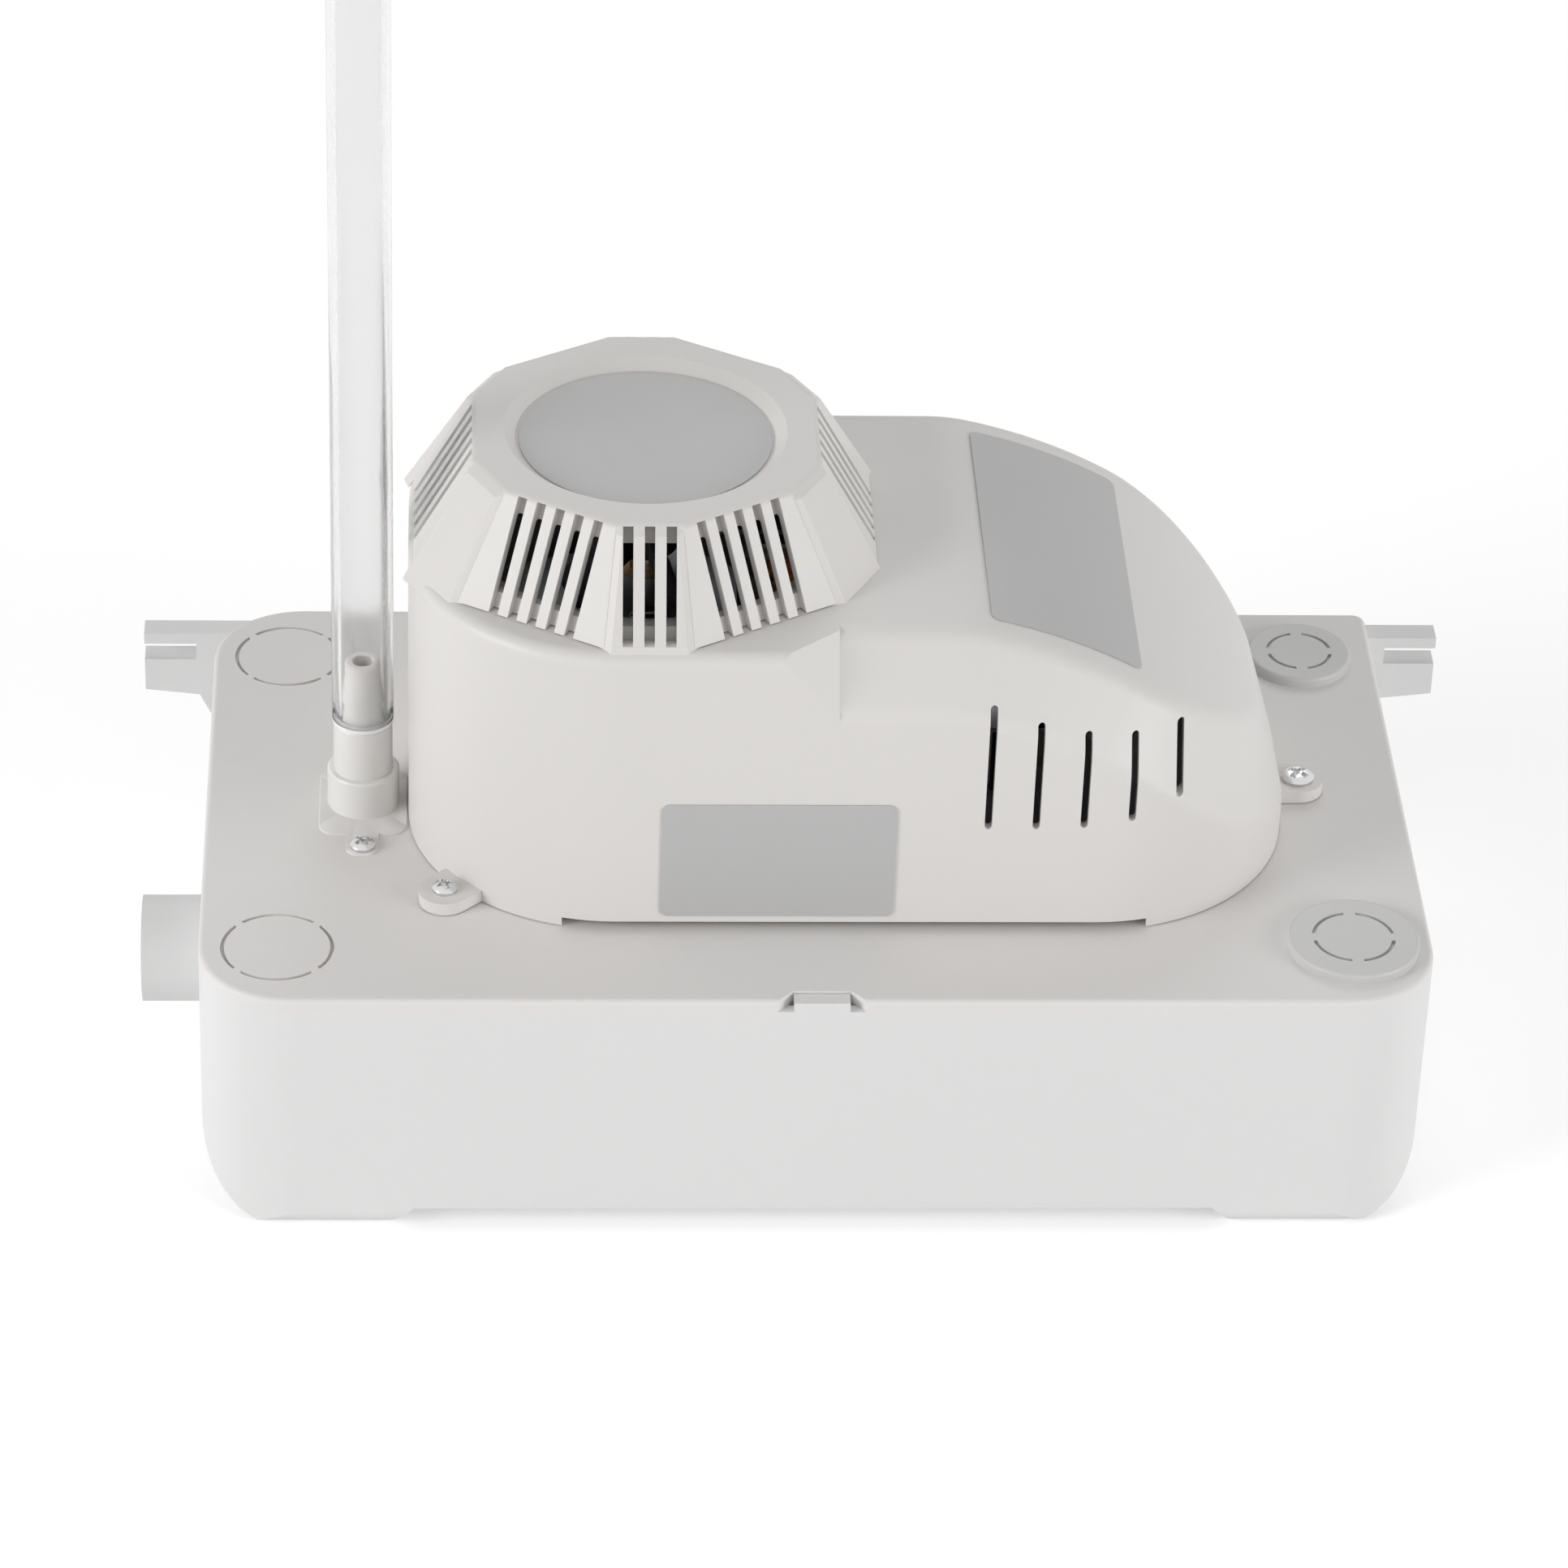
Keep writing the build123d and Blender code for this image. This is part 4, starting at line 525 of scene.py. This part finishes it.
# check valve: a turned body with a collar, a neck and two barbs, as one closed profile
valveBody = {
    "middle": valveMiddle,
    "sides": 96,
    "sharpAngle": 35.0,
    "profile": ((7.0, 55.0), (7.0, 64.0), (8.7, 64.0), (8.35, 64.5), (8.3, 65.2), (8.3, 73.5), (7.9, 74.0),
                (6.8, 74.0), (6.8, 86.5), (6.4, 87.0), (4.9, 87.0), (4.1, 93.5), (4.9, 93.5), (4.1, 100.0),
                (4.1, 102.9), (3.6, 103.4), (2.5, 103.4), (2.3, 103.2), (2.3, 76.0), (4.6, 76.0), (4.6, 65.0),
                (2.3, 65.0), (2.3, 61.0), (5.1, 61.0), (5.1, 55.0)),
}


def makeValveBody():
    # (radius, height) of the profile turned about the valve's axis
    profile = np.array(valveBody["profile"]) * millimetre
    points = turnedPoints(profile[:, 0], profile[:, 1], valveBody["middle"], valveBody["sides"])
    faces = gridFaces(len(profile), valveBody["sides"], closeRows=True, closeColumns=True)[:, ::-1]
    piece = meshFromArrays("turned_valve", points, faces, sharpAngle=valveBody["sharpAngle"])
    dress(piece, finishes["valveNylon"])
    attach(piece, "housing")
    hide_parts("valve_body")
    print("valve body made")


# retainer: a flush plate round the valve, with rounded corners and a tab for its screw
retainer = {
    "halfWidth": 10.2 * millimetre,
    "front": -14.1 * millimetre,
    "rear": 12.5 * millimetre,
    "cornerRadius": 3.6 * millimetre,
    "tabHalfWidth": 3.7 * millimetre,
    "tabFront": -22.4 * millimetre,
    "tabRadius": 2.6 * millimetre,
    "holeRadius": 8.3 * millimetre,
    "deck": 64.0 * millimetre,
    "rise": 0.45 * millimetre,
    "edge": 0.22 * millimetre,
    "arcPoints": 9,
    "sharpAngle": 50.0,
}


def arcPoints(middle, radius, start, end):
    angle = np.radians(np.linspace(start, end, retainer["arcPoints"]))
    return np.stack([middle[0] + radius * np.cos(angle), middle[1] + radius * np.sin(angle)], axis=-1)


def retainerOutline():
    # counter-clockwise from the front of the tab: arcs joined by straight edges
    wide, tab = retainer["halfWidth"], retainer["tabHalfWidth"]
    corner, bend = retainer["cornerRadius"], retainer["tabRadius"]
    front, rear, tip = retainer["front"], retainer["rear"], retainer["tabFront"]
    return np.concatenate([
        arcPoints((tab - bend, tip + bend), bend, 270, 360),
        [(tab, front)],
        arcPoints((wide - corner, front + corner), corner, 270, 360),
        arcPoints((wide - corner, rear - corner), corner, 0, 90),
        arcPoints((corner - wide, rear - corner), corner, 90, 180),
        arcPoints((corner - wide, front + corner), corner, 180, 270),
        [(-tab, front)],
        arcPoints((bend - tab, tip + bend), bend, 180, 270),
    ])


def makeRetainer():
    # rows: foot of the rim, rim, top edge drawn in, then the hole at the top and at the foot
    outline = retainerOutline()
    reach = np.linalg.norm(outline, axis=1, keepdims=True)
    drawnIn = outline * (1 - retainer["edge"] / reach)
    hole = outline / reach * retainer["holeRadius"]
    foot = retainer["deck"]
    top = foot + retainer["rise"]
    rows = ((outline, foot), (outline, top - retainer["edge"]), (drawnIn, top), (hole, top), (hole, foot))
    flat = np.concatenate([row for row, height in rows])
    heights = np.repeat([height for row, height in rows], len(outline))
    points = np.column_stack([flat[:, 0] + valveMiddle[0], flat[:, 1] + valveMiddle[1], heights])
    faces = gridFaces(len(rows), len(outline), closeRows=True, closeColumns=True)[:, ::-1]
    piece = meshFromArrays("flush_retainer", points, faces, sharpAngle=retainer["sharpAngle"])
    dress(piece, finishes["lidPlastic"])
    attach(piece, "housing")
    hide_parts("valve_retainer")
    print("retainer made")


# pan head screws: a domed head with a cross recess on a plain shank
panScrew = {
    "rings": 34,
    "sides": 96,
    "edge": 0.75 * millimetre,
    "crown": 1.15 * millimetre,
    "barReach": 0.62,
    "barHalfWidth": 0.17,
    "recessSlope": 0.05,
    "recessDepth": 1.7 * millimetre,
    "recessDish": 0.55,
    "poleShare": 0.03,
    "shankRadius": 1.6 * millimetre,
    "sharpAngle": 40.0,
}
# places are (x, y, head radius, turn in degrees), lengths in millimetres
coverScrews = {
    "places": ((-84.5, -41.7, 2.95, 20.0), (-84.5, 51.7, 2.95, 65.0), (115.4, 4.0, 3.9, 50.0)),
    "seat": 67.3 * millimetre,
    "length": 9.0 * millimetre,
}
retainerScrew = {
    "places": ((-103.5, -20.6, 2.95, 40.0),),
    "seat": 64.45 * millimetre,
    "length": 5.85 * millimetre,
}


def screwPoints(x, y, radius, turn, seat, length):
    # head height edge + crown * (1 - u^3), u = r / radius, less a cross: two bars at right angles,
    # deepest in the middle
    share = np.linspace(panScrew["poleShare"], 1.0, panScrew["rings"])[:, None]
    angle = ringAngles(panScrew["sides"])[None, :]
    across = np.abs(share * np.cos(angle))
    along = np.abs(share * np.sin(angle))
    reach, half = panScrew["barReach"], panScrew["barHalfWidth"]
    away = np.minimum(np.maximum(across - reach, along - half), np.maximum(along - reach, across - half))
    sunk = np.clip(0.5 - away / panScrew["recessSlope"], 0.0, 1.0)
    floor = 1.0 - panScrew["recessDish"] * share / reach
    rise = panScrew["edge"] + panScrew["crown"] * (1 - share ** 3) - panScrew["recessDepth"] * sunk * floor
    radii = np.concatenate([share[:, 0] * radius, [radius, panScrew["shankRadius"], panScrew["shankRadius"]]])
    lower = np.array([seat, seat, seat - length])[:, None] * np.ones_like(angle)
    heights = np.concatenate([seat + rise, lower])
    turned = angle + math.radians(turn)
    out = radii[:, None]
    rings = np.stack([x + out * np.cos(turned), y + out * np.sin(turned), heights], axis=-1)
    poles = np.array([(x, y, heights[0].mean()), (x, y, seat - length)])
    return np.concatenate([rings.reshape(-1, 3), poles])


def makeScrews(name, node, screws):
    points, faces = [], []
    each = closedFaces(panScrew["rings"] + 3, panScrew["sides"])
    for x, y, radius, turn in screws["places"]:
        faces.append(each + sum(len(part) for part in points))
        points.append(screwPoints(x * millimetre, y * millimetre, radius * millimetre, turn,
                                  screws["seat"], screws["length"]))
    piece = meshFromArrays(name, np.concatenate(points), np.concatenate(faces),
                           sharpAngle=panScrew["sharpAngle"])
    dress(piece, finishes["brightScrew"])
    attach(piece, "housing")
    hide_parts(node)
    print(name, "made")


# buttresses: proud panels with slanted flanks on the cap's six narrow sides, slotted at front and rear
buttress = {
    "middle": (-39.5, 5.0),
    "capTop": 161.8,
    "capFoot": 138.3,
    "topFace": 40.8,
    "footFace": 54.57,
    "topReach": 7.56,
    "footReach": 10.11,
    "proud": 1.4,
    "topProud": -0.1,
    "topDrop": 0.3,
    "shoulderProud": 1.15,
    "shoulderDrop": 1.7,
    "sunk": -1.3,
    "spread": 1.1,
    "flank": 1.6,
    "roofGap": 0.3,
    "barrelFace": 57.95,
    "slottedAngles": (90.0, 270.0),
    "barrelAngles": (150.0, 210.0),
    "roofAngles": (30.0, 330.0),
    "slotPitch": 4.8,
    "slotWidth": 2.3,
    "slotFoot": 139.2,
    "softEdge": 0.35,
    "softSteps": 3,
}


def panelRow(height, proud):
    # corners (out, across, up) of the panel at one height, its faces sloping with the cap
    share = (buttress["capTop"] - height) / (buttress["capTop"] - buttress["capFoot"])
    face = buttress["topFace"] + (buttress["footFace"] - buttress["topFace"]) * share
    reach = buttress["topReach"] + (buttress["footReach"] - buttress["topReach"]) * share
    wide = reach + buttress["spread"]
    flat = reach - buttress["flank"]
    inner = face + buttress["sunk"]
    outer = face + proud
    return [(inner, -wide), (outer, -flat), (outer, flat), (inner, wide)], height


def panelRows(foot):
    top = buttress["capTop"]
    return [
        panelRow(top - buttress["topDrop"], buttress["topProud"]),
        panelRow(top - buttress["shoulderDrop"], buttress["shoulderProud"]),
        panelRow(foot, buttress["proud"]),
    ]


def solidPrism(rows):
    # closed prism of four-cornered rows from top to foot, as quads
    corners = np.array([[(out, across, height) for out, across in row] for row, height in rows])
    count = len(rows)
    side = gridFaces(count, 4, closeColumns=True)
    last = (count - 1) * 4
    ends = np.array([[3, 2, 1, 0], [last, last + 1, last + 2, last + 3]])
    return corners.reshape(-1, 3), np.concatenate([side, ends])


def clippedRow(row, low, high):
    # the part of a row between two across values, which lie on its flat or run out to its own corner
    corners, height = row
    inner, wide = corners[0][0], corners[3][1]
    outer, flat = corners[1][0], corners[2][1]
    lowFoot = -wide if low is None else low
    highFoot = wide if high is None else high
    lowFace = -flat if low is None else low
    highFace = flat if high is None else high
    return [(inner, lowFoot), (outer, lowFace), (outer, highFace), (inner, highFoot)], height


def buttressParts(angle):
    # panels over the roof end on it; the others run down until they meet the barrel's wall
    pitch, half = buttress["slotPitch"], buttress["slotWidth"] / 2
    slope = (buttress["footFace"] - buttress["topFace"]) / (buttress["capTop"] - buttress["capFoot"])
    drop = (buttress["barrelFace"] - buttress["footFace"] - buttress["proud"]) / slope
    if angle in buttress["roofAngles"]:
        return [solidPrism(panelRows(buttress["capFoot"] - buttress["roofGap"]))]
    lowest = buttress["capFoot"] - drop
    if angle in buttress["barrelAngles"]:
        return [solidPrism(panelRows(lowest))]
    rows = panelRows(buttress["slotFoot"])
    spans = ((None, -pitch - half), (half - pitch, -half), (half, pitch - half), (pitch + half, None))
    bars = [solidPrism([clippedRow(row, low, high) for row in rows]) for low, high in spans]
    foot = solidPrism([rows[-1], panelRow(lowest, buttress["proud"])])
    return bars + [foot]


def makeButtresses():
    points, faces, count = [], [], 0
    angles = buttress["slottedAngles"] + buttress["barrelAngles"] + buttress["roofAngles"]
    for angle in angles:
        turn = math.radians(angle)
        for corners, quads in buttressParts(angle):
            out, across, up = corners.T
            x = buttress["middle"][0] + out * math.cos(turn) - across * math.sin(turn)
            y = buttress["middle"][1] + out * math.sin(turn) + across * math.cos(turn)
            points.append(np.stack([x, y, up], axis=-1) * millimetre)
            faces.append(quads + count)
            count += len(corners)
    piece = meshFromArrays("cap_buttresses", np.concatenate(points), np.concatenate(faces), smooth=False)
    soft = piece.modifiers.new("soft_edges", "BEVEL")
    soft.width = buttress["softEdge"] * millimetre
    soft.segments = buttress["softSteps"]
    soft.limit_method = "ANGLE"
    dress(piece, finishes["coverPlastic"])
    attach(piece, "housing")
    print("buttresses made")


# coil: one enamelled wire wound to and fro in layers round the bobbin
coil = {
    "middle": (-0.5, 5.0, 103.0),
    "innerHalfX": 6.65,
    "innerHalfZ": 12.65,
    "halfLength": 11.7,
    "wireRadius": 0.42,
    "layerPitch": 0.86,
    "layers": 6,
    "turnsPerLayer": 27,
    "stepsPerTurn": 44,
    "wireSides": 6,
    "squareness": 6.0,
    "climbShare": 0.03,
}


def makeCoil():
    # x = X c |c|^(2/p-1), z = Z s |s|^(2/p-1) with c = cos t, s = sin t: a rounded rectangle with p large
    turns = coil["layers"] * coil["turnsPerLayer"]
    t = np.linspace(0.0, 2 * math.pi * turns, turns * coil["stepsPerTurn"] + 1)
    passed = t / (2 * math.pi * coil["turnsPerLayer"])
    layer = np.minimum(np.floor(passed), coil["layers"] - 1)
    within = passed - layer
    travel = coil["halfLength"] - coil["wireRadius"]
    y = travel * (2 * within - 1) * np.where(layer % 2 == 0, 1.0, -1.0)
    climbing = np.clip((within - (1 - coil["climbShare"])) / coil["climbShare"], 0.0, 1.0)
    climb = climbing * (layer < coil["layers"] - 1)
    grown = coil["wireRadius"] + coil["layerPitch"] * (layer + climb)
    halfX, halfZ = coil["innerHalfX"] + grown, coil["innerHalfZ"] + grown
    power = 2 / coil["squareness"]
    shareX = np.sign(np.cos(t)) * np.abs(np.cos(t)) ** power
    shareZ = np.sign(np.sin(t)) * np.abs(np.sin(t)) ** power
    normalX = np.sign(shareX) * np.abs(shareX) ** (coil["squareness"] - 1) / halfX
    normalZ = np.sign(shareZ) * np.abs(shareZ) ** (coil["squareness"] - 1) / halfZ
    size = np.hypot(normalX, normalZ)
    centre = np.stack([halfX * shareX, y, halfZ * shareZ], axis=-1) + np.array(coil["middle"])
    outward = np.stack([normalX / size, np.zeros_like(size), normalZ / size], axis=-1)
    angle = ringAngles(coil["wireSides"])[None, :, None]
    ring = np.cos(angle) * np.array([0.0, 1.0, 0.0]) + np.sin(angle) * outward[:, None, :]
    points = centre[:, None, :] + coil["wireRadius"] * ring
    points = np.concatenate([points.reshape(-1, 3), centre[[0, -1]]]) * millimetre
    piece = meshFromArrays("wound_coil", points, closedFaces(len(t), coil["wireSides"]))
    dress(piece, finishes["woundCopper"])
    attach(piece, "housing")
    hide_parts("coil_winding")
    print("coil made, turns", turns)


# studio: a pale floor under soft lamps, white behind
studio = {
    "floorSize": 14.0,
    "floorColour": (0.85, 0.85, 0.85, 1.0),
    "floorRoughness": 0.9,
    "floorLift": 0.36,
    "skyStrength": 0.43,
    "lamps": [
        {"name": "keyLamp", "place": (-1.9, -0.9, 0.8), "size": 1.2, "power": 26.8},
        {"name": "fillLamp", "place": (2.0, -1.3, 0.6), "size": 1.4, "power": 27.0},
        {"name": "backLamp", "place": (0.3, 1.9, 1.9), "size": 1.6, "power": 8.9},
    ],
    "aim": (0.0, 0.0, 0.07),
}


def cameraOrMirror(tree):
    # 1 for what the camera, a mirror or glass sees directly
    path = tree.nodes.new("ShaderNodeLightPath")
    seen = mathNode(tree, "MAXIMUM", path.outputs["Is Camera Ray"], path.outputs["Is Glossy Ray"])
    return mathNode(tree, "MAXIMUM", seen, path.outputs["Is Transmission Ray"])


def makeSky():
    world = bpy.data.worlds.new("studioSky")
    world.use_nodes = True
    tree = world.node_tree
    background = tree.nodes["Background"]
    background.inputs["Color"].default_value = (1.0, 1.0, 1.0, 1.0)
    rise = mathNode(tree, "MULTIPLY", cameraOrMirror(tree), 1.0 - studio["skyStrength"])
    wire(tree, mathNode(tree, "ADD", rise, studio["skyStrength"]), background.inputs["Strength"])
    bpy.context.scene.world = world


def makeFloor():
    half = studio["floorSize"] / 2
    points = np.array([(-half, -half, 0), (half, -half, 0), (half, half, 0), (-half, half, 0)])
    floor = meshFromArrays("floor", points, np.array([[0, 1, 2, 3]]), smooth=False)
    material, tree, shader = startMaterial("paleFloor")
    shader.inputs["Base Color"].default_value = studio["floorColour"]
    shader.inputs["Roughness"].default_value = studio["floorRoughness"]
    shader.inputs["Emission Color"].default_value = (1.0, 1.0, 1.0, 1.0)
    lift = mathNode(tree, "MULTIPLY", cameraOrMirror(tree), studio["floorLift"])
    wire(tree, lift, shader.inputs["Emission Strength"])
    dress(floor, material)


def makeLamps():
    for lamp in studio["lamps"]:
        data = bpy.data.lights.new(lamp["name"], "AREA")
        data.shape = "DISK"
        data.size = lamp["size"]
        data.energy = lamp["power"]
        light = bpy.data.objects.new(lamp["name"], data)
        bpy.context.scene.collection.objects.link(light)
        light.location = lamp["place"]
        aim = Vector(studio["aim"]) - light.location
        light.rotation_euler = aim.to_track_quat("-Z", "Y").to_euler()
    print("studio made")


makeCamera()
makeHose()
makeValveBody()
makeRetainer()
makeScrews("pan_screws", "cover_screws", coverScrews)
makeScrews("retainer_pan_screw", "retainer_screw", retainerScrew)
makeButtresses()
makeCoil()
dressNodes()
makeSky()
makeFloor()
makeLamps()
bpy.context.scene.view_settings.view_transform = "Standard"
